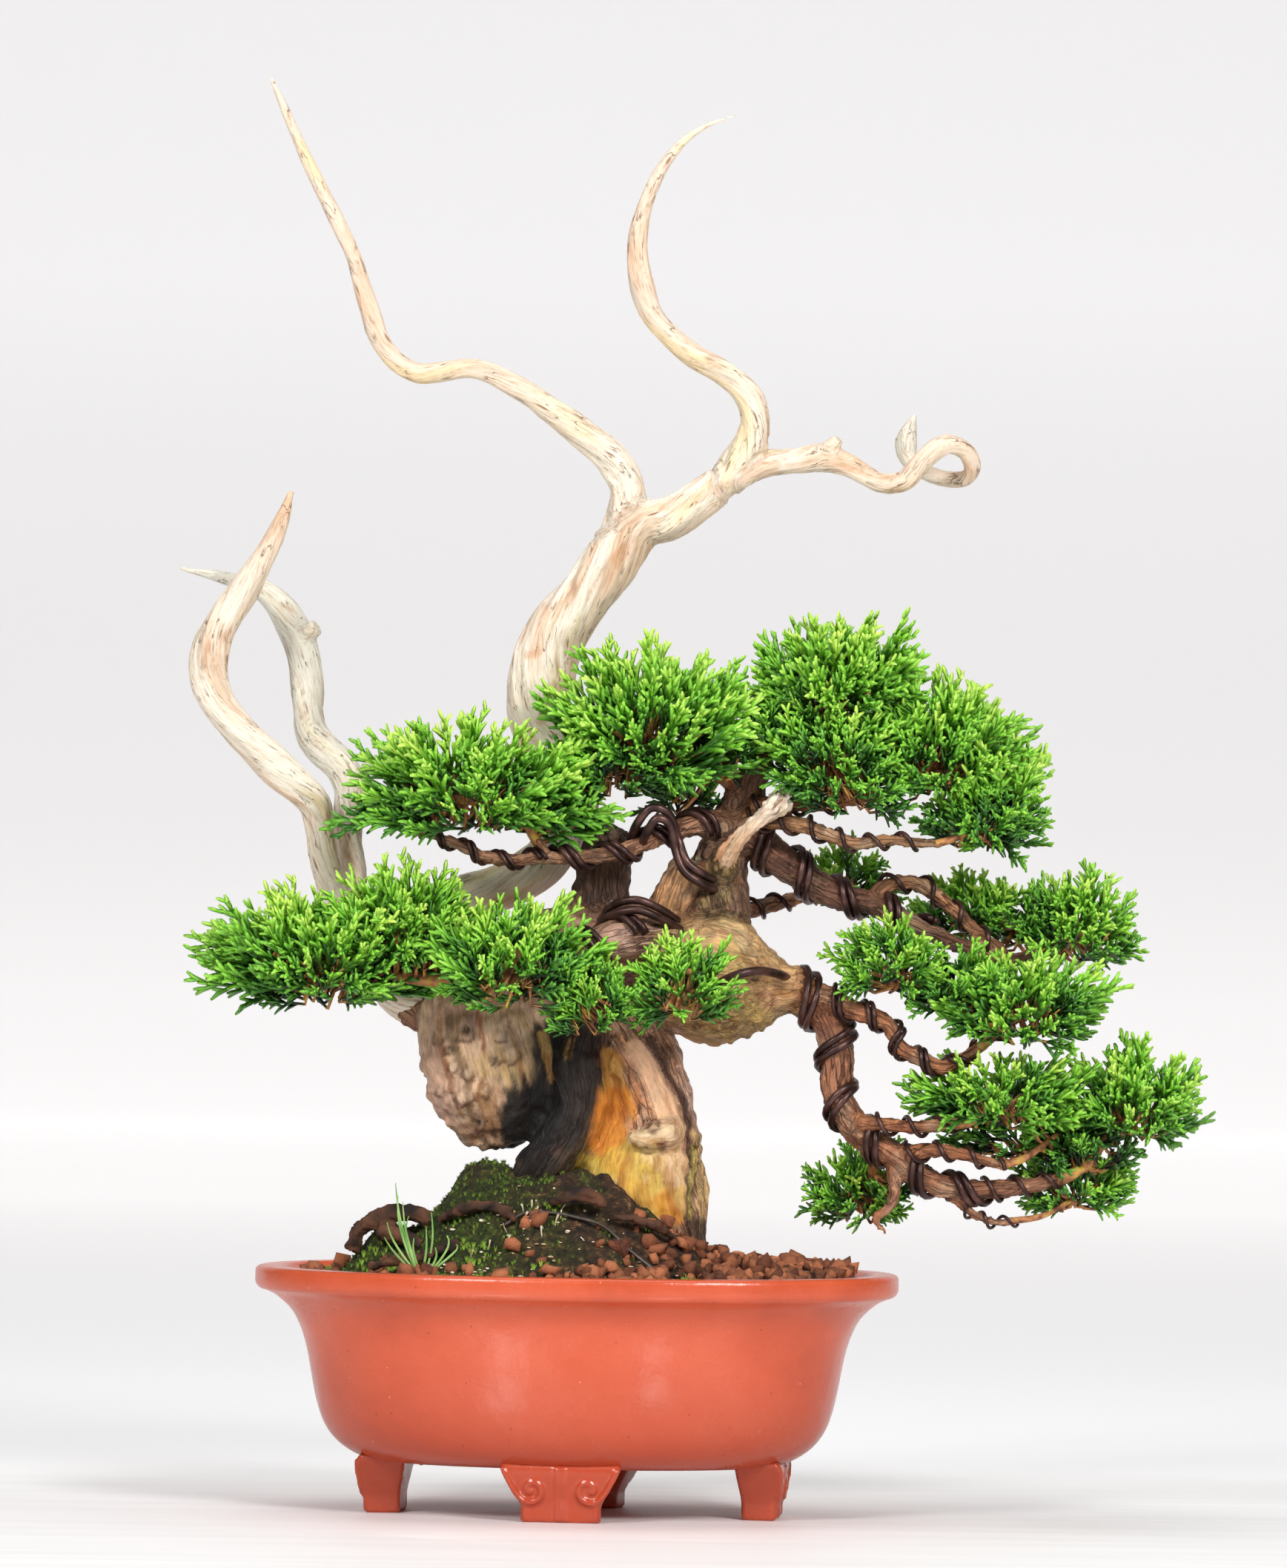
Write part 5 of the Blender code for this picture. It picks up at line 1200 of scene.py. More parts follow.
def shaded_material(name, low, high, roughness, scale, depth):
    """A natural matt stuff whose tone goes from low to high by each bit's own shade, with a rough skin."""
    material, tree, where = new_material(name, Roughness=roughness)
    shade = add(tree, "Attribute", attribute_name="shade").outputs["Fac"]
    rough = add(tree, "TexNoise", {"Vector": where, "Scale": scale, "Detail": 5.0, "Roughness": 0.65})
    level = add(tree, "Math", {0: rough, 1: 0.7, 2: shade}, operation="MULTIPLY_ADD")
    level = add(tree, "Math", {0: level, 1: 0.35}, operation="SUBTRACT")
    base = add(tree, "Mix", {0: level, 6: low, 7: high}, **BLENDED).outputs[2]
    bump = add(tree, "Bump", {"Height": rough, "Distance": depth * MM, "Strength": 0.8})
    return finished(material, Base_Color=base, Normal=bump)


def mesh_material():
    """Moulded black polypropylene mesh: a soft shine with a faint haze."""
    material, tree, where = new_material("moulded_black_plastic", Roughness=0.5)
    haze = add(tree, "TexNoise", {"Vector": where, "Scale": 900.0, "Detail": 3.0})
    tone = add(tree, "ValToRGB", {0: haze}, [(0.3, linear("#161616")), (0.7, linear("#2A2A2A"))])
    bump = add(tree, "Bump", {"Height": haze, "Distance": 0.0001, "Strength": 0.4})
    return finished(material, Base_Color=tone, Normal=bump)


def table_material(stage):
    """A painted board: nearly white, warm near the pot and cooler further back, with faint brush marks."""
    material, tree, where = new_material("painted_board", Roughness=0.55, Emission_Color=linear("#FBF9F8"))
    stretched = add(tree, "Mapping", {"Vector": where, "Scale": (6.0, 60.0, 1.0)})
    marks = add(tree, "TexNoise", {"Vector": stretched, "Scale": 1.0, "Detail": 5.0})
    tone = add(tree, "ValToRGB", {0: marks}, [(0.35, 0.94), (0.65, 1.0)])
    depth = add(tree, "SeparateXYZ", {0: where}).outputs[1]
    far = add(tree, "MapRange", {0: depth, 1: COOLER_FROM, 2: COOLER_TO, 3: 0.0, 4: 1.0})
    ground = add(tree, "Mix", {0: 1.0, 6: stage.floor, 7: tone}, **MULTIPLIED).outputs[2]
    ground = add(tree, "Mix", {0: far, 6: ground, 7: stage.backdrop}, **BLENDED).outputs[2]
    along = add(tree, "Math", {0: depth, 1: 1 / BOARD_REACH}, operation="MULTIPLY")
    share = add(tree, "ValToRGB", {0: along}, GLOW_STOPS)
    glow = add(tree, "Math", {0: share, 1: stage.glow}, operation="MULTIPLY")
    return finished(material, Base_Color=ground, Emission_Strength=glow)


def oval_half_depth(half_width):
    """Half the depth of the pot's oval where it has this half width; a smaller oval is a slimmer one."""
    half_depth = half_width * POT_DEPTH_RATIO - (POT_HALF_WIDTH - half_width) * POT_DEPTH_NARROWING
    return max(half_depth, half_width * SLIMMEST_OVAL)


def oval_ring(half_width, height, segments, inset=0.0):
    """The corners of the pot's oval at a height."""
    half_depth = oval_half_depth(half_width)
    ring = []
    for k in range(segments):
        turn = 2 * math.pi * k / segments
        c, s = math.cos(turn), math.sin(turn)
        reach = (abs(c) ** OVAL_POWER + abs(s) ** OVAL_POWER) ** (-1 / OVAL_POWER)
        corner = Vector(((half_width - inset) * reach * c, (half_depth - inset) * reach * s, height))
        ring.append(Matrix.Rotation(POT_TURN, 4, "Z") @ corner)
    return ring


def rounded_profile(profile, step):
    """A profile's half widths and heights again, closer together along a smooth curve."""
    run = [(Vector((half, 0, height)), 1.0) for half, height in profile]
    return [(point.x, point.z) for point, _ in even_run(run, step)]


def foot_body(x, y, turn):
    """A foot with curved shoulders, with a scroll at each side of a middle rib on its outer face."""
    frame = Matrix.Rotation(POT_TURN, 4, "Z") @ Matrix.Translation((x, y, 0)) @ Matrix.Rotation(turn, 4, "Z")
    rings = []
    for half, height, outer, inner in FOOT_RINGS:
        front, back, corner = half - FOOT_CHAMFER, half * FOOT_INNER_SHARE, outer + FOOT_CHAMFER
        line = [(-half, corner), (-front, outer), (front, outer), (half, corner)]
        line += [(back, inner - 1), (back - 1, inner), (1 - back, inner), (-back, inner - 1)]
        rings.append([Vector((a, b, height)) for a, b in line])
    bodies = [rolled(rings)]
    for side in (-1, 1):
        for raised, step, sides in ((SCROLL, 0.8, 10), (FOOT_RIB, 0, 8), (FOOT_EDGE, 0, 8)):
            run = [(Vector((side * a, b, c)), radius) for a, b, c, radius in raised]
            bodies.append(bar(even_run(run, step) if step else run, sides))
    for body in bodies:
        body.transform(frame)
    return bodies


class BONSAI_OT_pot(bpy.types.Operator):
    """Build the clay bowl and its four scrolled feet, and give the mesh over its drainage holes its plastic
    """
    bl_idname = "bonsai.pot"
    bl_label = "Build pot"

    def execute(self, context):
        pot = context.scene.bonsai_pot
        clay = clay_material(pot)
        outside = POT_LIP + rounded_profile(POT_WALL, 1.6)
        inside = POT_INNER_LIP + rounded_profile(POT_INNER_WALL, 2.5)
        profile = [(2.0, UNDERSIDE), (34.0, UNDERSIDE)] + outside[::-1] + inside
        profile += [(34.0, FLOOR_Z), (2.0, FLOOR_Z)]
        bowl = rolled([oval_ring(half, height, pot.segments) for half, height in profile])
        for x, y in DRIPS:
            seat = Matrix.Translation((x, y, UNDERSIDE + 0.4))
            bmesh.ops.create_icosphere(bowl, subdivisions=2, radius=DRIP_RADIUS, matrix=seat)
        mesh = joined([bowl])
        for side in (-1, 1):
            bm = bmesh.new()
            middle = Matrix.Rotation(POT_TURN, 4, "Z") @ Vector((side * DRAIN_X, 0, FLOOR_Z - 3))
            bmesh.ops.create_cone(
                bm, cap_ends=True, segments=DRAIN_SIDES, radius1=DRAIN_RADIUS, radius2=DRAIN_RADIUS,
                depth=DRAIN_CUT, matrix=Matrix.Translation(middle),
            )
            cutter = bpy.data.objects.new("cutter", joined([bm]))
            context.scene.collection.objects.link(cutter)
            mesh = modified(mesh, "BOOLEAN", operation="DIFFERENCE", object=cutter, solver="EXACT")
            bpy.data.objects.remove(cutter)
        piece("clay_bowl", mesh, clay, "fired_clay", "pot")
        mesh.set_sharp_from_angle(angle=SHARP_ANGLE)
        bodies = []
        for x, y, turn in FEET:
            bodies += foot_body(x, y, turn)
        feet = fused(bodies, pot.foot_voxel / MM)
        feet = modified(feet, "SMOOTH", factor=0.5, iterations=1)
        feet = modified(feet, "DECIMATE", ratio=FOOT_FACES_KEPT)
        piece("clay_feet", feet, clay, "fired_clay", "pot")
        plastic = mesh_material()
        for name in ("drain_mesh_left", "drain_mesh_right"):
            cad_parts[name].data.materials.clear()
            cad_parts[name].data.materials.append(plastic)
        return {"FINISHED"}


def soil_height(x, y):
    """The height of the soil's top: nearly level at the rim, with the root mound and its shoulders."""
    height = SOIL_EDGE_Z
    for middle_x, middle_y, half_x, half_y, rise, power in SOIL_BUMPS:
        away = math.hypot((x - middle_x) / half_x, (y - middle_y) / half_y)
        height += rise * math.exp(-(away ** power))
    height += 1.2 * noise.noise(Vector((x, y, 0)) * 0.11)
    return height


def ground_at(x, y):
    """The soil's top with its lumps, as the fine piece has it."""
    mound = smooth_step(np.array(soil_height(x, y) - SOIL_EDGE_Z), 2.0, 12.0)
    rough = noise.noise(Vector((x, y, 7)) * 0.17) * 2.6 + noise.noise(Vector((x, y, 3)) * 0.42) * 1.3
    return soil_height(x, y) + rough * (0.35 + 0.65 * float(mound))


def on_ground(x, y, lift):
    """A place on the soil's top, lifted by this much."""
    return Matrix.Translation((x, y, ground_at(x, y) + lift))


def moss_share(x, y):
    """How mossy the soil is at a place: most on the mound and along the left of the rim."""
    left = float(smooth_step(np.array(x), 20.0, -42.0))
    patch = noise.noise(Vector((x, y, 20)) * 0.1) * 1.9
    cushion = math.exp(-(((x - 32) / 12) ** 2 + ((y + 48) / 9) ** 2))
    mound = float(smooth_step(np.array(soil_height(x, y) - SOIL_EDGE_Z), 2.0, 9.0))
    return min(1.0, max(0.0, 0.62 * left + 0.42 * mound * left + patch * 0.55 + cushion))


def lump(rng, uneven, squash=1.0):
    """A template for a small uneven lump 1 mm in radius."""
    bm = bmesh.new()
    bmesh.ops.create_icosphere(bm, subdivisions=2 if uneven < 0.3 else 1, radius=1)
    shift = Vector((rng.uniform(0, 50), rng.uniform(0, 50), 0))
    for vert in bm.verts:
        vert.co *= 1 + uneven * noise.noise(vert.co * 1.1 + shift) * 1.6
        vert.co.z *= squash
    mesh = bpy.data.meshes.new("lump")
    bm.to_mesh(mesh)
    bm.free()
    return mesh


class Gathering:
    """A mesh that is put together from many turned copies of a few templates."""

    def __init__(self):
        self.bm = bmesh.new()

    def put(self, template, matrix, shade):
        """Add a copy of a template, with its own shade."""
        copy = template.copy()
        copy.transform(matrix)
        values = np.full(len(copy.vertices), shade, np.float32)
        copy.attributes.new("shade", "FLOAT", "POINT").data.foreach_set("value", values)
        self.bm.from_mesh(copy, face_normals=False, vertex_normals=False)
        bpy.data.meshes.remove(copy)

    def mesh(self):
        """The mesh so far."""
        made = bpy.data.meshes.new("gathering")
        self.bm.to_mesh(made)
        self.bm.free()
        return made


def rim_share(x, y):
    """How far out a place in the pot is: 0 in the middle, 1 at the wall."""
    flat = Matrix.Rotation(-POT_TURN, 4, "Z") @ Vector((x, y, 0))
    across, deep = abs(flat.x / SOIL_HALF_WIDTH), abs(flat.y / oval_half_depth(SOIL_HALF_WIDTH))
    return (across ** OVAL_POWER + deep ** OVAL_POWER) ** (1 / OVAL_POWER)


def build_mound(soil):
    """Build the soil with its root mound, mossy on top."""
    rings = [oval_ring(half, height, SOIL_SEGMENTS, 0.5) for half, height in SOIL_WALL]
    edge = rings[-1]
    for k in range(1, SOIL_TOP_RINGS):
        share = 1 - k / SOIL_TOP_RINGS
        ring = []
        for corner in edge:
            x, y = corner.x * share, corner.y * share
            ring.append(Vector((x, y, ground_at(x, y))))
        rings.append(ring)
    mesh = joined([rolled(rings)])
    mossy = np.array([moss_share(x, y) for x, y, _ in corners(mesh)])
    store(mesh, "mossy", mossy)
    piece("soil_and_roots", mesh, loam_material(soil), "soil", "soil")


def build_grains(soil, rng):
    """Strew clay grains where the soil is low and bare."""
    grains = Gathering()
    templates = [lump(rng, 0.5) for _ in range(GRAIN_KINDS)]
    made = 0
    while made < soil.lumps:
        x, y = rng.uniform(-FIELD_X, FIELD_X), rng.uniform(-FIELD_Y, FIELD_Y)
        where = rim_share(x, y)
        if where > 0.985 or moss_share(x, y) > rng.uniform(0.25, 0.8):
            continue
        if soil_height(x, y) - SOIL_EDGE_Z > rng.uniform(4, 24):
            continue
        size = rng.choice(GRAIN_RADII) * rng.uniform(0.85, 1.15)
        turn = Matrix.Rotation(rng.uniform(0, 6), 4, Vector((rng.random(), rng.random(), rng.random())))
        seat = on_ground(x, y, size * rng.uniform(0.1, 0.9))
        grains.put(rng.choice(templates), seat @ turn @ Matrix.Scale(size, 4), rng.uniform(0, 1) ** 0.8)
        made += 1
    akadama = shaded_material("akadama", soil.akadama_dark, soil.akadama, 0.9, 620.0, 0.8)
    piece("akadama_grains", grains.mesh(), akadama, "soil")


def build_moss(soil, rng):
    """Set tufts of moss on the mound and along the rim."""
    moss = Gathering()
    bm = bmesh.new()
    for k in range(MOSS_LEAVES):
        lean = Matrix.Rotation(k * 1.05 + 0.4, 4, "Z") @ Matrix.Rotation(0.25 + 0.16 * (k % 3), 4, "Y")
        bmesh.ops.create_cone(
            bm, cap_ends=False, segments=3, radius1=MOSS_LEAF_RADIUS, radius2=0.0, depth=MOSS_LEAF_LENGTH,
            matrix=lean @ Matrix.Translation((0, 0, 0.9)),
        )
    star = joined([bm])
    made = 0
    while made < soil.moss_tufts:
        x, y = rng.uniform(-FIELD_X, MOSS_RIGHT_X), rng.uniform(-FIELD_Y, FIELD_Y)
        if rim_share(x, y) > 0.99 or moss_share(x, y) < rng.uniform(0.15, 0.8):
            continue
        fringe = rim_share(x, y) > 0.9 or noise.noise(Vector((x, y, 40)) * 0.09) > 0.28
        size = rng.uniform(0.5, 1.15) * (1.1 if fringe else 0.75)
        seat = on_ground(x, y, -0.2) @ Matrix.Rotation(rng.uniform(0, 6), 4, "Z")
        shade = rng.uniform(0.4, 1.0) if fringe else rng.uniform(0.0, 0.62) ** 1.4
        moss.put(star, seat @ Matrix.Scale(size, 4), shade)
        made += 1
    green = shaded_material("moss", soil.moss_dark, soil.moss, 0.85, 500.0, 0.3)
    piece("moss", moss.mesh(), green, "soil")


def build_grass(foliage, rng):
    """Build the blades of grass."""
    blades = []
    foot_x, foot_y = GRASS_FOOT
    foot_z = ground_at(foot_x, foot_y)
    for dx, dy, dz, bow in GRASS_BLADES + FINE_BLADES:
        start = Vector((foot_x + rng.uniform(-1.2, 1.2), foot_y + rng.uniform(-1, 1), foot_z - 1.5))
        end = Vector((foot_x + dx, foot_y + dy, foot_z + dz))
        steps = []
        for share, radius in BLADE_STEPS:
            bend = math.sin(math.pi * share) * bow
            steps.append((start.lerp(end, share) + Vector((bend, 0, abs(bend) * 0.6)), radius))
        blades.append(bar(even_run(steps, FINE_STEP), 6, flatten=0.45))
    grass = joined(blades)
    store(grass, "shade", np.clip(noise_at(corners(grass), 0.15) + 0.5, 0, 1))
    blade = shaded_material("grass_blade", linear("#5C9A3C"), foliage.blade, 0.5, 300.0, 0.05)
    piece("grass", grass, blade, "grass", "grass_tuft")


def build_mound_wire(wire):
    """Build the thin wire that arcs over the front of the mound."""
    line = [(Vector((x, y, ground_at(x, y) + 2.2)), SOIL_WIRE_RADIUS * 0.7) for x, y in SOIL_WIRE_ROUTE]
    thin = joined([bar(even_run(line, 1), WIRE_SIDES)])
    grey_wire = wire_material("bare_grey_wire", wire.soil_wire, linear("#7E766E"))
    piece("mound_wire", thin, grey_wire, "grey_wire", "soil_wire")


def build_old_roots():
    """Build the old roots at the trunk's foot, with torn, fibrous bark."""
    roots = [bar(even_run(placed(route), FINE_STEP), THIN_SIDES) for route in OLD_ROOTS]
    old = fused(roots, ROOT_VOXEL)
    points, normals = corners(old), facing(old)
    rough = noise_at(points, 0.45) * 0.7 + noise_at(points, 0.16) * 1.2
    fibre = np.abs(noise_at(points * (0.35, 1, 1), 0.9)) * 0.9
    move_corners(old, points + normals * (rough - fibre)[:, None])
    store(old, "shade", np.clip(noise_at(points, 0.2) + 0.45, 0, 1))
    dead_bark = shaded_material("old_root_bark", linear("#1E130D"), linear("#6E4630"), 0.88, 420.0, 0.9)
    piece("old_roots", old, dead_bark, "soil")


def build_dried_bits(rng):
    """Strew dried flakes and stalks over the mound."""
    bits = Gathering()
    flake = lump(rng, 0.2, 0.7)
    for _ in range(DRIED_BITS):
        x, y = rng.uniform(-62, 34), rng.uniform(-54, -24)
        size = rng.uniform(0.18, 0.5)
        seat = on_ground(x, y, 0.9) @ Matrix.Rotation(rng.uniform(0, 6), 4, "X")
        shape = Matrix.Diagonal((size * rng.uniform(1, 2.6), size, size * 0.7, 1))
        bits.put(flake, seat @ shape, rng.random())
    stem = [(Vector(), 0.28), (Vector((0.4, 0, 2)), 0.24), (Vector((1.2, 0, 3.6)), 0.4)]
    stalk = joined([bar(stem, 5)])
    extra = []
    for _ in range(LOOSE_STALKS):
        extra.append((rng.uniform(-30, -6), rng.uniform(-41, -30), 0, rng.uniform(-2, 2)))
    for x, y, z, lean in DRY_STALKS + extra:
        way = Matrix.Rotation(lean * 0.3, 4, "Y") @ Matrix.Rotation(rng.uniform(0, 6), 4, "Z")
        way = way @ Matrix.Scale(rng.uniform(0.6, 1.15), 4)
        foot = place(x, y, z)
        bits.put(stalk, on_ground(foot.x, foot.y, -0.3) @ way, rng.random())
    pale = shaded_material("dried_bits", linear("#A5814E"), linear("#E8DCC2"), 0.8, 600.0, 0.1)
    piece("dried_bits", bits.mesh(), pale, "soil")


class BONSAI_OT_soil(bpy.types.Operator):
    """Build the soil with its root mound, clay grains, moss, grass, old roots and the wire that lies on it"""
    bl_idname = "bonsai.soil"
    bl_label = "Build soil"

    def execute(self, context):
        scene = context.scene
        soil, wire, foliage = scene.bonsai_soil, scene.bonsai_wire, scene.bonsai_foliage
        rng = random.Random(5)
        build_mound(soil)
        build_grains(soil, rng)
        build_moss(soil, rng)
        build_grass(foliage, rng)
        build_mound_wire(wire)
        build_old_roots()
        build_dried_bits(rng)
        return {"FINISHED"}


def zone_share(x, z, zone, wobble):
    """How far each point of the front view is inside a zone: a line with a half width."""
    x0, z0, x1, z1, half = zone
    dx, dz = x1 - x0, z1 - z0
    share = np.clip(((x - x0) * dx + (z - z0) * dz) / max(dx * dx + dz * dz, 1e-9), 0, 1)
    away = np.hypot(x - x0 - share * dx, z - z0 - share * dz) / half
    return smooth_step(away + wobble * 0.5, 1.25, 0.72)


def tinted(tint, code, share):
    """The corners' colours, each moved towards one colour by its own share."""
    share = share[:, None]
    return tint * (1 - share) + np.array(linear(code)[:3]) * share


class BONSAI_OT_trunk(bpy.types.Operator):
    """Build the living wood with its furrows, knots, near-black hollow and coloured strips of bark"""
    bl_idname = "bonsai.trunk"
    bl_label = "Build trunk"

    def execute(self, context):
        wood = context.scene.bonsai_wood
        runs = {name: even_run(placed(route), BARK_STEP) for name, route in WOOD.items()}
        bodies = []
        for name, run in runs.items():
            sides = THICK_SIDES if max(radius for _, radius in run) > THICK_RADIUS else THIN_SIDES
            bodies.append(bar(run, sides, FLAT_WOOD.get(name, 1.0)))
        mesh = fused(bodies, wood.voxel / MM)
        grain = Grain(runs.values(), TRUNK_TWIST)
        soften(mesh, grain.at(corners(mesh))[1] > ROUNDED_WOOD, 4)
        points, normals = corners(mesh), facing(mesh)
        place_on, thick, number, _ = grain.at(points)
        place_on = spread(mesh, place_on, 5)
        big = smooth_step(thick, 2.5, 12.0)
        names = list(runs)
        x, z = seen(points)
        front = smooth_step(normals[:, 1], 0.6, 0.1)
        wave = noise_at(place_on, 0.17) + 0.5 * noise_at(place_on, 0.4)
        furrow = np.exp(-(wave / 0.11) ** 2)
        lumps = noise_at(points, 0.055) * 1.9 * big + noise_at(points + 9, 0.28) * 0.9 * big
        lumps += noise_at(points, 0.15) * (0.25 + 0.75 * big)
        kinds = [names[int(k)] for k in number]
        habit = np.array([(FURROW_DEPTH.get(kind, 1.0), BARK_CALM.get(kind, 0.0)) for kind in kinds])
        depth, bare = spread(mesh, habit, 9).T
        furrow = furrow * depth
        for *zone, strength, _ in WOOD_ZONES:
            bare = np.maximum(bare, zone_share(x, z, zone, 0) * front)
        furrow *= 1 - 0.8 * bare
        knobs = (noise_at(points, 0.42) * 0.8 + noise_at(points, 0.75) * 0.45) * (1 - big)
        height = lumps - furrow * (0.22 + 0.75 * big) + noise_at(place_on, 0.75) * 0.22 * (1 - bare) + knobs
        knot_ring_and_shade, pit_shade, knot_highlight = np.zeros(len(points)), np.zeros(len(points)), np.zeros(len(points))
        uneven = noise_at(points, 0.35) * 0.5
        # each knot gets a pale painted highlight on its raised middle, a dark ring painted darker on its
        # lower side as shade, and its pit painted near black as shade
        for i, (knot_x, knot_z, size) in enumerate(KNOTS):
            away = np.hypot(x - knot_x, (z - knot_z) * 0.8) / size + uneven
            pit_depth = PIT_DEPTHS[i % len(PIT_DEPTHS)]
            relief = 0.42 * np.exp(-away ** 2) - pit_depth * 0.7 * np.exp(-(away / 0.4) ** 2)
            height += front * size * relief
            shaded_low_side = smooth_step(z - knot_z, size * 0.9, -size * 0.6) * 0.7 + 0.3
            knot_ring_and_shade = np.maximum(knot_ring_and_shade, front * np.exp(-((away - 0.8) / 0.2) ** 2) * shaded_low_side)
            knot_highlight = np.maximum(knot_highlight, front * np.exp(-(away / 0.4) ** 2) * (1 - pit_depth))
            pit_shade = np.maximum(pit_shade, front * np.exp(-(away / 0.38) ** 2) * pit_depth)
        warty = np.zeros(len(points))
        for zone in WARTY_ZONES:
            warty = np.maximum(warty, zone_share(x, z, zone, 0))
        height += warty * np.maximum(noise_at(points, 0.3), 0) * 2.6
        move_corners(mesh, points + normals * height[:, None])
        tint = np.array([linear(BARK_TONES.get(kind, BARK_TONES["branch"]))[:3] for kind in kinds])
        tint = spread(mesh, tint, 7)
        wobble = noise_at(points, 0.16) * 0.8 + noise_at(place_on, 0.6) * 0.9
        rubbed = smooth_step(noise_at(points, 0.11), 0.05, 0.4) * smooth_step(tint.mean(axis=1), 0.03, 0.14)
        tint = tinted(tint, "#C9A98C", rubbed * 0.45)
        tint = tinted(tint, "#6A4430", smooth_step(noise_at(points + 31, 0.13), 0.1, 0.42) * 0.4)
        # painted shade: thick wood that faces down is tinted a darker olive
        tint = tinted(tint, "#7E6844", smooth_step(normals[:, 2], -0.1, -0.75) * big * 0.4)
        for *zone, strength, code in BARK_ZONES + WOOD_ZONES:
            tint = tinted(tint, code, zone_share(x, z, zone, wobble) * front * strength)
        # painted highlight on the knots' middles, painted shade in their rings and pits
        tint = tinted(tint, "#F0D2B4", knot_highlight * 0.6)
        tint = tinted(tint, "#5C3420", knot_ring_and_shade * 0.85)
        tint = tinted(tint, "#22130C", pit_shade * 0.95)
        store(mesh, "bare", bare)
        store(mesh, "grain", place_on)
        store(mesh, "furrow", furrow * (0.35 + 0.5 * big))
        store(mesh, "tint", np.column_stack([tint, np.ones(len(tint))]))
        piece("living_wood", mesh, bark_material(wood), "living_wood", "trunk")
        return {"FINISHED"}


class BONSAI_OT_deadwood(bpy.types.Operator):
    """Build the bleached jins with their twisted flutes and cracks"""
    bl_idname = "bonsai.deadwood"
    bl_label = "Build bleached wood"

    def execute(self, context):
        wood = context.scene.bonsai_wood
        material = bleached_material(wood)
        for name, node, routes in (
            ("main_jin", "deadwood_main", MAIN_JIN),
            ("left_jins", "deadwood_left", LEFT_JIN),
            ("stub_jin", "deadwood_stub", STUB_JIN),
        ):
            runs = []
            for key, route in routes.items():
                run = seated(route, SEATS[key]) if key in SEATS else placed(route)
                runs.append(even_run(run, BLEACHED_STEP))
            snapped = name == "stub_jin"
            bodies = [bar(run, SNAPPED_SIDES if snapped else JIN_SIDES) for run in runs]
            if snapped:
                bodies += [bar(even_run(placed(route), BLEACHED_STEP), 5) for route in SNAPPED_HEAD]
            mesh = fused(bodies, wood.bleached_voxel / MM * (SNAPPED_FINENESS if snapped else 1))
            grain = Grain(runs, JIN_TWIST)
            soften(mesh, grain.at(corners(mesh))[1] > ROUNDED_JIN, 2 if snapped else 4)
            points, normals = corners(mesh), facing(mesh)
            place_on, thick, _, _ = grain.at(points)
            place_on = spread(mesh, place_on, 26 if snapped else 13)
            big = smooth_step(thick, 0.6, 7.0)
            flute = noise_at(place_on, 0.2) * 1.5 + noise_at(place_on, 0.55) * 0.5
            wave = noise_at(place_on * (1, 1, 0.6), 0.3)
            crack = np.exp(-(wave / 0.07) ** 2) * smooth_step(noise_at(points, 0.05), -0.15, 0.25)
            bulge = noise_at(points, 0.07) * 0.9
            height = (flute + bulge) * (0.2 + 0.6 * big) - crack * (0.1 + 0.55 * big)
            ridge = np.abs(noise_at(place_on * (1, 1, 0.5), 0.42))
            height += (0.3 - ridge) * (0.3 + 0.7 * big)
            if snapped:
                broken = 0.5 + smooth_step(seen(points)[1], 234, 241)
                height = height * 0.6 + noise_at(place_on * (1, 1, 0.4), 0.6) * 1.1 - ridge * 1.3
                height += noise_at(points, 0.55) * 1.1 * broken
                crack = np.maximum(crack, smooth_step(ridge, 0.07, 0.0))
            move_corners(mesh, points + normals * height[:, None])
            store(mesh, "grain", place_on)
            store(mesh, "furrow", crack * 0.6)
            # painted shade: wood that faces right and down is made warmer and browner; thin wood is warmer
            # too, and real stains are added below
            shade_and_stain = smooth_step(normals[:, 0] * 0.7 - normals[:, 2] * 0.75, 0.1, 1.0) * 0.6
            shade_and_stain = np.maximum(shade_and_stain, smooth_step(thick, 6.5, 3.0) * THIN_WARMTH)
            x, z = seen(points)
            wobble = noise_at(place_on, 0.5) * 1.6
            for *zone, strength in WARM_STAINS:
                shade_and_stain = np.maximum(shade_and_stain, zone_share(x, z, zone, wobble) * strength)
            lower = SNAPPED_WARMTH * smooth_step(z, 241, 226)
            store(mesh, "warm", lower + 0.15 if snapped else shade_and_stain)
            back = smooth_step(points[:, 1], 26.0, 36.0) * 0.8
            store(mesh, "weathered", np.maximum(back, smooth_step(normals[:, 1], 0.2, 0.9) * 0.35))
            piece(name, mesh, material, "bleached_wood", node)
        return {"FINISHED"}


def coil(run, first, last, radius, rise, start_angle):
    """A fine coil round a run of wood."""
    points = [point for point, _ in run]
    frames = cross_frames(points)
    lengths = [0.0]
    for a, b in zip(points, points[1:]):
        lengths.append(lengths[-1] + (b - a).length)
    last = min(last, lengths[-1] - 0.1)
    steps = int((last - first) / rise * COIL_POINTS)
    made = []
    for i in range(steps + 1):
        along = first + (last - first) * i / steps
        k = max(j for j in range(len(points) - 1) if lengths[j] <= along)
        share = min(1, (along - lengths[k]) / (lengths[k + 1] - lengths[k]))
        thick = run[k][1] + (run[k + 1][1] - run[k][1]) * share
        side = frames[k][1].lerp(frames[k + 1][1], share).normalized()
        other = frames[k][2].lerp(frames[k + 1][2], share).normalized()
        turn = start_angle + 2 * math.pi * (along - first) / rise
        middle = points[k].lerp(points[k + 1], share)
        reach = thick + radius + WIRE_LIFT
        made.append((middle + (side * math.cos(turn) + other * math.sin(turn)) * reach, radius))
    return made


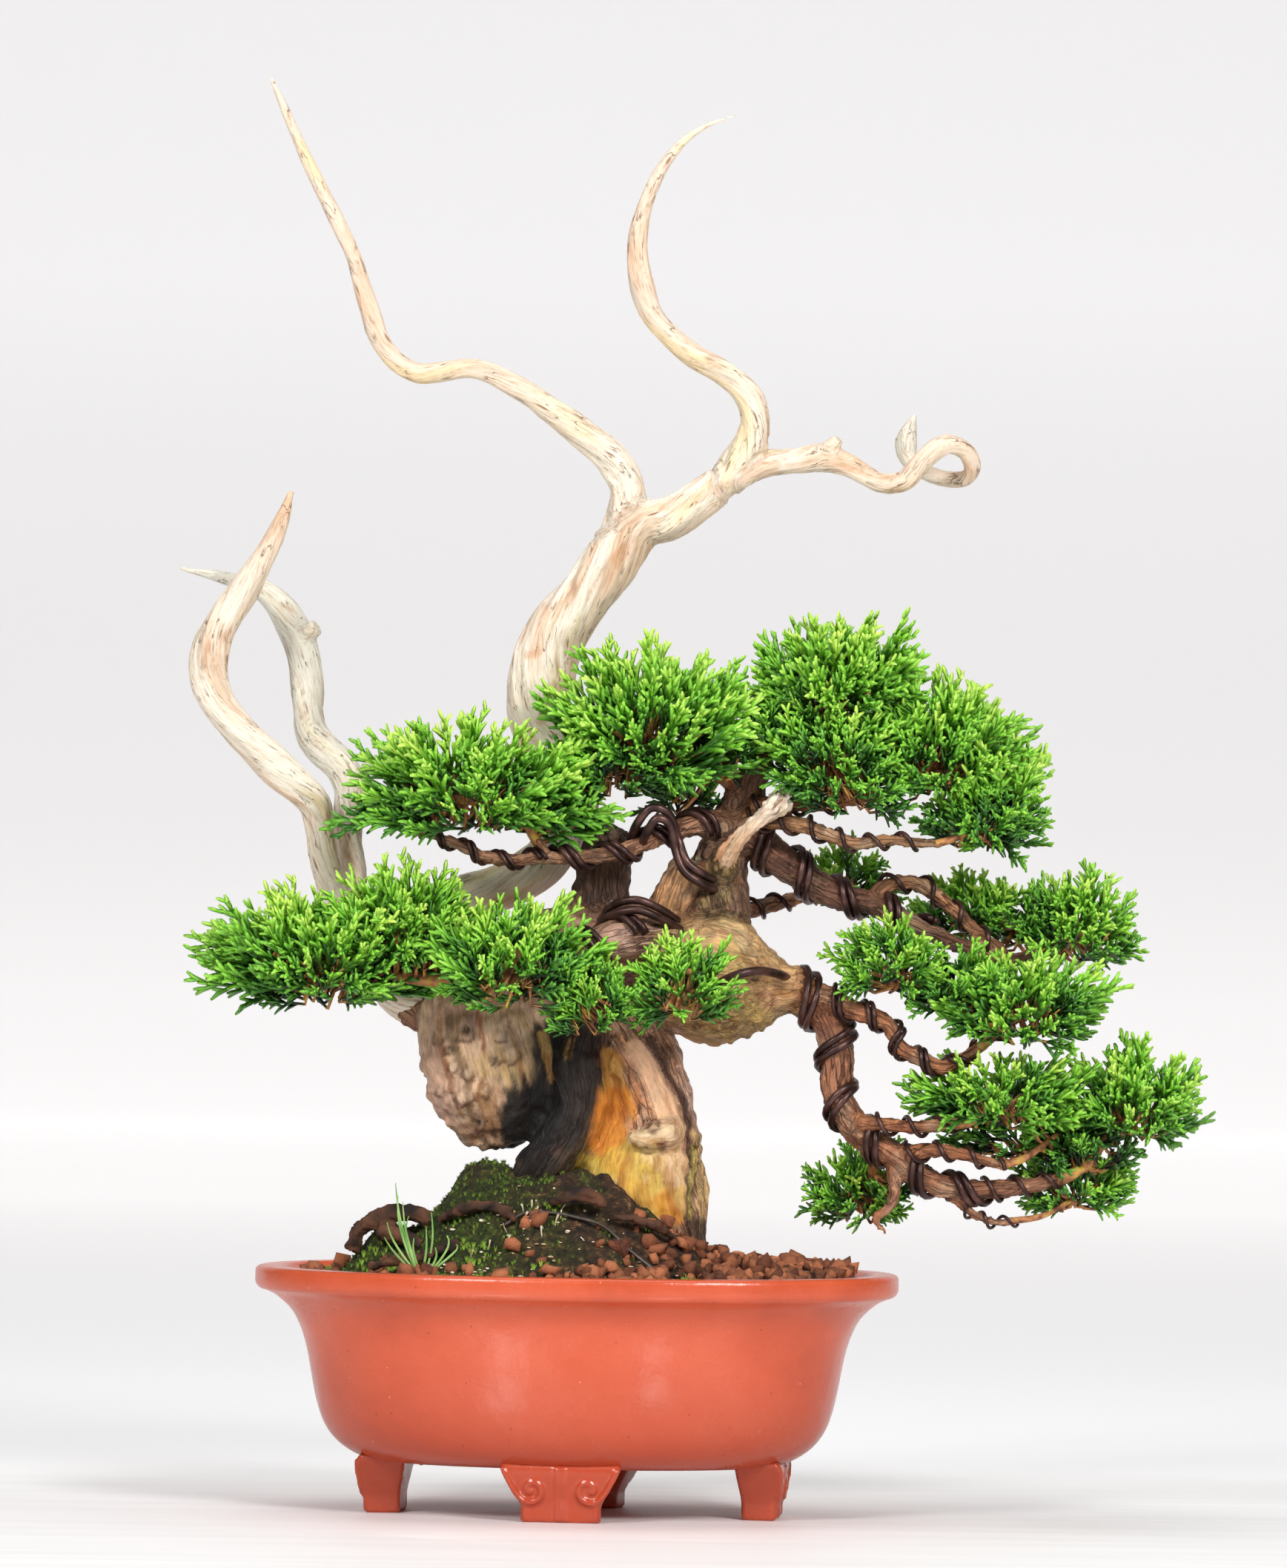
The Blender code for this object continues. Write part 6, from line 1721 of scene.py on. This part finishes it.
class BONSAI_OT_wires(bpy.types.Operator):
    """Build the coils of training wire, which run in pairs along the branches"""
    bl_idname = "bonsai.wires"
    bl_label = "Build wires"

    def execute(self, context):
        wire = context.scene.bonsai_wire
        brown = wire_material("brown_anodised_wire", wire.wire, wire.wire_worn)
        for node, strands in FINE_WIRES.items():
            bodies = []
            for wood, first, last, radius, rise, angle in strands:
                run = even_run(placed(WOOD[wood]), BARK_STEP)
                bodies.append(bar(coil(run, first, last, radius * WIRE_SLIMMING, rise, angle), WIRE_SIDES))
            piece(node.replace("wire", "coil", 1), joined(bodies), brown, "training_wire", node)
        loops = []
        for radius, *route in WIRE_LOOPS:
            line = [(place(x, y, z), radius) for x, y, z in route]
            loops.append(bar(even_run(line, FINE_STEP), WIRE_SIDES))
        piece("wire_loops", joined(loops), brown, "training_wire")
        return {"FINISHED"}


def finger(start, end, thick, sag, low, high):
    """One cord-like shoot, blunt at its tip; its corners keep how near the spray's growing edge they are."""
    thick *= FINGER_FULLNESS
    belly = start.lerp(end, FINGER_BELLY) + sag
    run = [(start, thick * FINGER_ROOT), (belly, thick), (end, thick * FINGER_TIP)]
    bm = bar(run, FINGER_SIDES)
    layer = bm.verts.layers.float.new("tip")
    span = (end - start).length_squared
    for vert in bm.verts:
        share = min(1, max(0, (vert.co - start).dot(end - start) / span))
        vert[layer] = low + (high - low) * share
    return bm


def spray(rng):
    """A fan of shoots that grows along x: side shoots on each side in turn, with shorter ones on them."""
    lift = rng.uniform(-1, 4)
    sway = rng.uniform(-2, 2)

    def on_stem(share):
        return Vector((SPRAY_LENGTH * share, sway * share * share, lift * share * share))

    bodies = [finger(on_stem(0), on_stem(0.55), 0.72, Vector(), 0.0, 0.4)]
    bodies.append(finger(on_stem(0.5), on_stem(1), 0.78, Vector(), 0.35, 1.0))
    for k in range(SIDE_SHOOTS):
        share = 0.18 + 0.68 * k / (SIDE_SHOOTS - 1)
        side = -1 if k % 2 else 1
        reach = SPRAY_LENGTH * rng.uniform(0.34, 0.5) * (1.2 - 0.6 * share)
        lean = math.radians(rng.uniform(22, 38))
        start = on_stem(share)
        out = Vector((math.cos(lean), side * math.sin(lean), rng.uniform(-0.3, 0.4))) * reach
        low = 0.62 * share
        sag = Vector((0.2, -side * 0.5, 0))
        bodies.append(finger(start, start + out, rng.uniform(0.76, 0.9), sag, low, low + 0.42))
        for along in (0.34, 0.66)[:rng.choice((1, 1, 2))]:
            fork = start + out * along
            twist = math.radians(rng.uniform(-20, 24)) * side
            way = Vector((math.cos(twist), math.sin(twist), rng.uniform(-0.35, 0.45)))
            short = way * rng.uniform(3.8, 5.6)
            bodies.append(finger(fork, fork + short, 0.76, Vector(), low + 0.12, low + 0.4))
    return joined(bodies)


def grow(middle, halves, joints, templates, wood, leaves, twigs, area, tone, rng):
    """Fill a clump with sprays that fan up and out from its lower middle, each on a twig from a stem."""
    # the skin of an ellipsoid, to about a hundredth
    sides = ((halves.x, halves.y), (halves.x, halves.z), (halves.y, halves.z))
    a, b, c = ((p * q) ** SKIN_POWER for p, q in sides)
    sprays = max(8, round(4 * math.pi * ((a + b + c) / 3) ** (1 / SKIN_POWER) / area))
    heart = middle - Vector((0, 0, 0.36 * halves.z))
    for i in range(sprays):
        up = 1 - (1 - LOWEST_SPRAY) * (i + 0.5) / sprays
        flat = math.sqrt(1 - up * up)
        way = Vector((flat * math.cos(GOLDEN_TURN * i), flat * math.sin(GOLDEN_TURN * i), up))
        way = (way + Vector([rng.uniform(-0.2, 0.2) for _ in range(3)])).normalized()
        inner = rng.random() < INNER_SHARE
        reach = rng.uniform(0.55, 0.8) if inner else rng.uniform(0.84, 1.07)
        if rng.random() < LONG_SHARE:
            reach += 0.16
        tip = middle + Vector([w * half * reach for w, half in zip(way, halves)])
        root = heart + Vector([w * half * 0.34 for w, half in zip(way, halves)])
        root += Vector([rng.uniform(-3, 3) for _ in range(3)])
        along = tip - root
        if along.length > SPRAY_LENGTH * 1.12:
            root = tip - along.normalized() * SPRAY_LENGTH * rng.uniform(0.9, 1.1)
            along = tip - root
        if wood.at(np.array([tip, tip.lerp(root, 0.4)]))[3].min() < 1.5:
            continue
        scale = max(0.55, along.length / SPRAY_LENGTH)
        nearest = min(joints, key=lambda joint: (joint - root).length)
        bend = nearest.lerp(root, 0.5) - Vector((0, 0, 1.2))
        twigs.append(bar([(nearest, 0.85), (bend, 0.7), (root, 0.6), (root + along * 0.3, 0.4)], 3))
        frame = along.to_track_quat("X", "Z").to_matrix().to_4x4()
        roll = Matrix.Rotation(rng.uniform(-1.6, 1.6), 4, "X")
        thick = Matrix.Diagonal((scale, 0.5 + 0.5 * scale, 0.5 + 0.5 * scale, 1))
        # painted light and shade: sprays that face up and towards the front are lighter, inner ones darker
        shade = (INNER_TONE if inner else OUTER_TONE) + 0.3 * way.z + 0.16 * max(0, -way.y)
        shade += rng.uniform(-0.2, 0.2)
        matrix = Matrix.Translation(root) @ frame @ roll @ thick
        leaves.put(rng.choice(templates), matrix, min(1, max(0, shade + tone)))


class BONSAI_OT_foliage(bpy.types.Operator):
    """Build each pad of scale-leaf sprays with its twigs"""
    bl_idname = "bonsai.foliage"
    bl_label = "Build foliage"

    def execute(self, context):
        foliage = context.scene.bonsai_foliage
        leaf, bark = leaf_material(foliage), twig_material(foliage)
        rng = random.Random(21)
        templates = [spray(rng) for _ in range(SPRAY_KINDS)]
        wood = Grain([even_run(placed(route), 6) for route in WOOD.values()])
        for pad, (seat, stems, clumps) in PADS.items():
            rng = random.Random("fine" + pad)
            leaves, twigs = Gathering(), []
            later = [placed(stem) for stem in stems[1:] + FINE_STEMS.get(pad, [])]
            joints = []
            for run in [seated(stems[0], seat)] + later:
                twigs.append(bar(even_run(run, 2), 8))
                joints += [point for point, _ in even_run(run, 3)]
            fills = [(*clump, FILL_SHADE) for clump in FILL_CLUMPS.get(pad, ())]
            for *clump, tone in [(*clump, 0) for clump in clumps] + fills:
                middle, halves = place(*clump[:3]), Vector(clump[3:])
                area = foliage.spray_area * (FILL_SPREAD if tone else 1)
                grow(middle, halves, joints, templates, wood, leaves, twigs, area, tone, rng)
            short = pad.replace("foliage_", "")
            piece("leaves_" + short, leaves.mesh(), leaf, "foliage", pad)
            piece("twigs_" + short, joined(twigs), bark, "foliage", pad)
        return {"FINISHED"}


def aimed(eye, aim):
    """The frame of a camera or a light at one place that points at another."""
    return Matrix.Translation(eye) @ (aim - eye).to_track_quat("-Z", "Y").to_matrix().to_4x4()


class BONSAI_OT_stage(bpy.types.Operator):
    """Set up the camera, the pale table and backdrop, and the soft lights"""
    bl_idname = "bonsai.stage"
    bl_label = "Build stage"

    def execute(self, context):
        stage = context.scene.bonsai_stage
        scene = context.scene
        data = bpy.data.cameras.new("front_camera")
        data.lens = stage.lens / MM
        data.sensor_width = 36
        data.clip_start, data.clip_end = 0.1, 50
        camera = bpy.data.objects.new("front_camera", data)
        eye = TO_ROW @ Vector((EYE_X, -VIEW_DISTANCE, EYE_Z))
        aim = TO_ROW @ place(VIEW_CENTRE[0], 0, VIEW_CENTRE[1])
        camera.matrix_world = aimed(eye, aim) @ Matrix.Rotation(VIEW_ROLL, 4, "Z")
        scene.collection.objects.link(camera)
        scene.camera = camera
        scene.view_settings.view_transform = "Standard"

        board = bmesh.new()
        bmesh.ops.create_grid(board, x_segments=1, y_segments=1, size=BOARD_REACH)
        back = [e for e in board.edges if all(v.co.y > 0 for v in e.verts)]
        wall = bmesh.ops.extrude_edge_only(board, edges=back)["geom"]
        top = [v for v in wall if isinstance(v, bmesh.types.BMVert)]
        bmesh.ops.translate(board, vec=(0, 0, WALL_HEIGHT), verts=top)
        bmesh.ops.bevel(
            board, geom=back, offset=COVE_RADIUS, affect="EDGES", segments=24, profile=0.5, material=-1,
        )
        mesh = bpy.data.meshes.new("table_and_backdrop")
        board.to_mesh(mesh)
        board.free()
        mesh.shade_smooth()
        mesh.materials.append(table_material(stage))
        sweep = bpy.data.objects.new("table_and_backdrop", mesh)
        scene.collection.objects.link(sweep)

        for name, where, size, setting, share in LIGHTS:
            lamp = bpy.data.lights.new(name, "AREA")
            lamp.shape, lamp.size, lamp.energy = "SQUARE", size, getattr(stage, setting) * share
            holder = bpy.data.objects.new(name, lamp)
            holder.matrix_world = aimed(Vector(where), LIGHT_AIM)
            scene.collection.objects.link(holder)
        world = bpy.data.worlds.new("even_light")
        world.use_nodes = True
        world.node_tree.nodes["Background"].inputs["Color"].default_value = linear("#FFFCF8")
        world.node_tree.nodes["Background"].inputs["Strength"].default_value = stage.sky
        scene.world = world
        return {"FINISHED"}


class BONSAI_PT_panel(bpy.types.Panel):
    """Lists the pieces that can be built"""
    bl_idname = "BONSAI_PT_panel"
    bl_label = "Juniper bonsai"
    bl_space_type = "VIEW_3D"
    bl_region_type = "UI"
    bl_category = "Bonsai"

    def draw(self, context):
        for key, operator in STEPS:
            box = self.layout.box()
            box.operator(operator)
            settings = getattr(context.scene, key)
            for name in settings.__annotations__:
                box.prop(settings, name)


GROUPS = {
    "bonsai_stage": BonsaiStage, "bonsai_pot": BonsaiPot, "bonsai_soil": BonsaiSoil,
    "bonsai_wood": BonsaiWood, "bonsai_wire": BonsaiWire, "bonsai_foliage": BonsaiFoliage,
}
STEPS = [
    ("bonsai_stage", "bonsai.stage"), ("bonsai_pot", "bonsai.pot"), ("bonsai_soil", "bonsai.soil"),
    ("bonsai_wood", "bonsai.trunk"), ("bonsai_wood", "bonsai.deadwood"), ("bonsai_wire", "bonsai.wires"),
    ("bonsai_foliage", "bonsai.foliage"),
]
OPERATORS = (
    BONSAI_OT_stage, BONSAI_OT_pot, BONSAI_OT_soil, BONSAI_OT_trunk, BONSAI_OT_deadwood, BONSAI_OT_wires,
    BONSAI_OT_foliage, BONSAI_PT_panel,
)


def register():
    for key, group in GROUPS.items():
        bpy.utils.register_class(group)
        setattr(bpy.types.Scene, key, PointerProperty(type=group))
    for operator in OPERATORS:
        bpy.utils.register_class(operator)


def unregister():
    for operator in reversed(OPERATORS):
        bpy.utils.unregister_class(operator)
    for key, group in GROUPS.items():
        delattr(bpy.types.Scene, key)
        bpy.utils.unregister_class(group)


def main():
    register()
    bpy.ops.bonsai.stage()
    bpy.ops.bonsai.pot()
    bpy.ops.bonsai.soil()
    bpy.ops.bonsai.trunk()
    bpy.ops.bonsai.deadwood()
    bpy.ops.bonsai.wires()
    bpy.ops.bonsai.foliage()


if __name__ == "__main__":
    main()
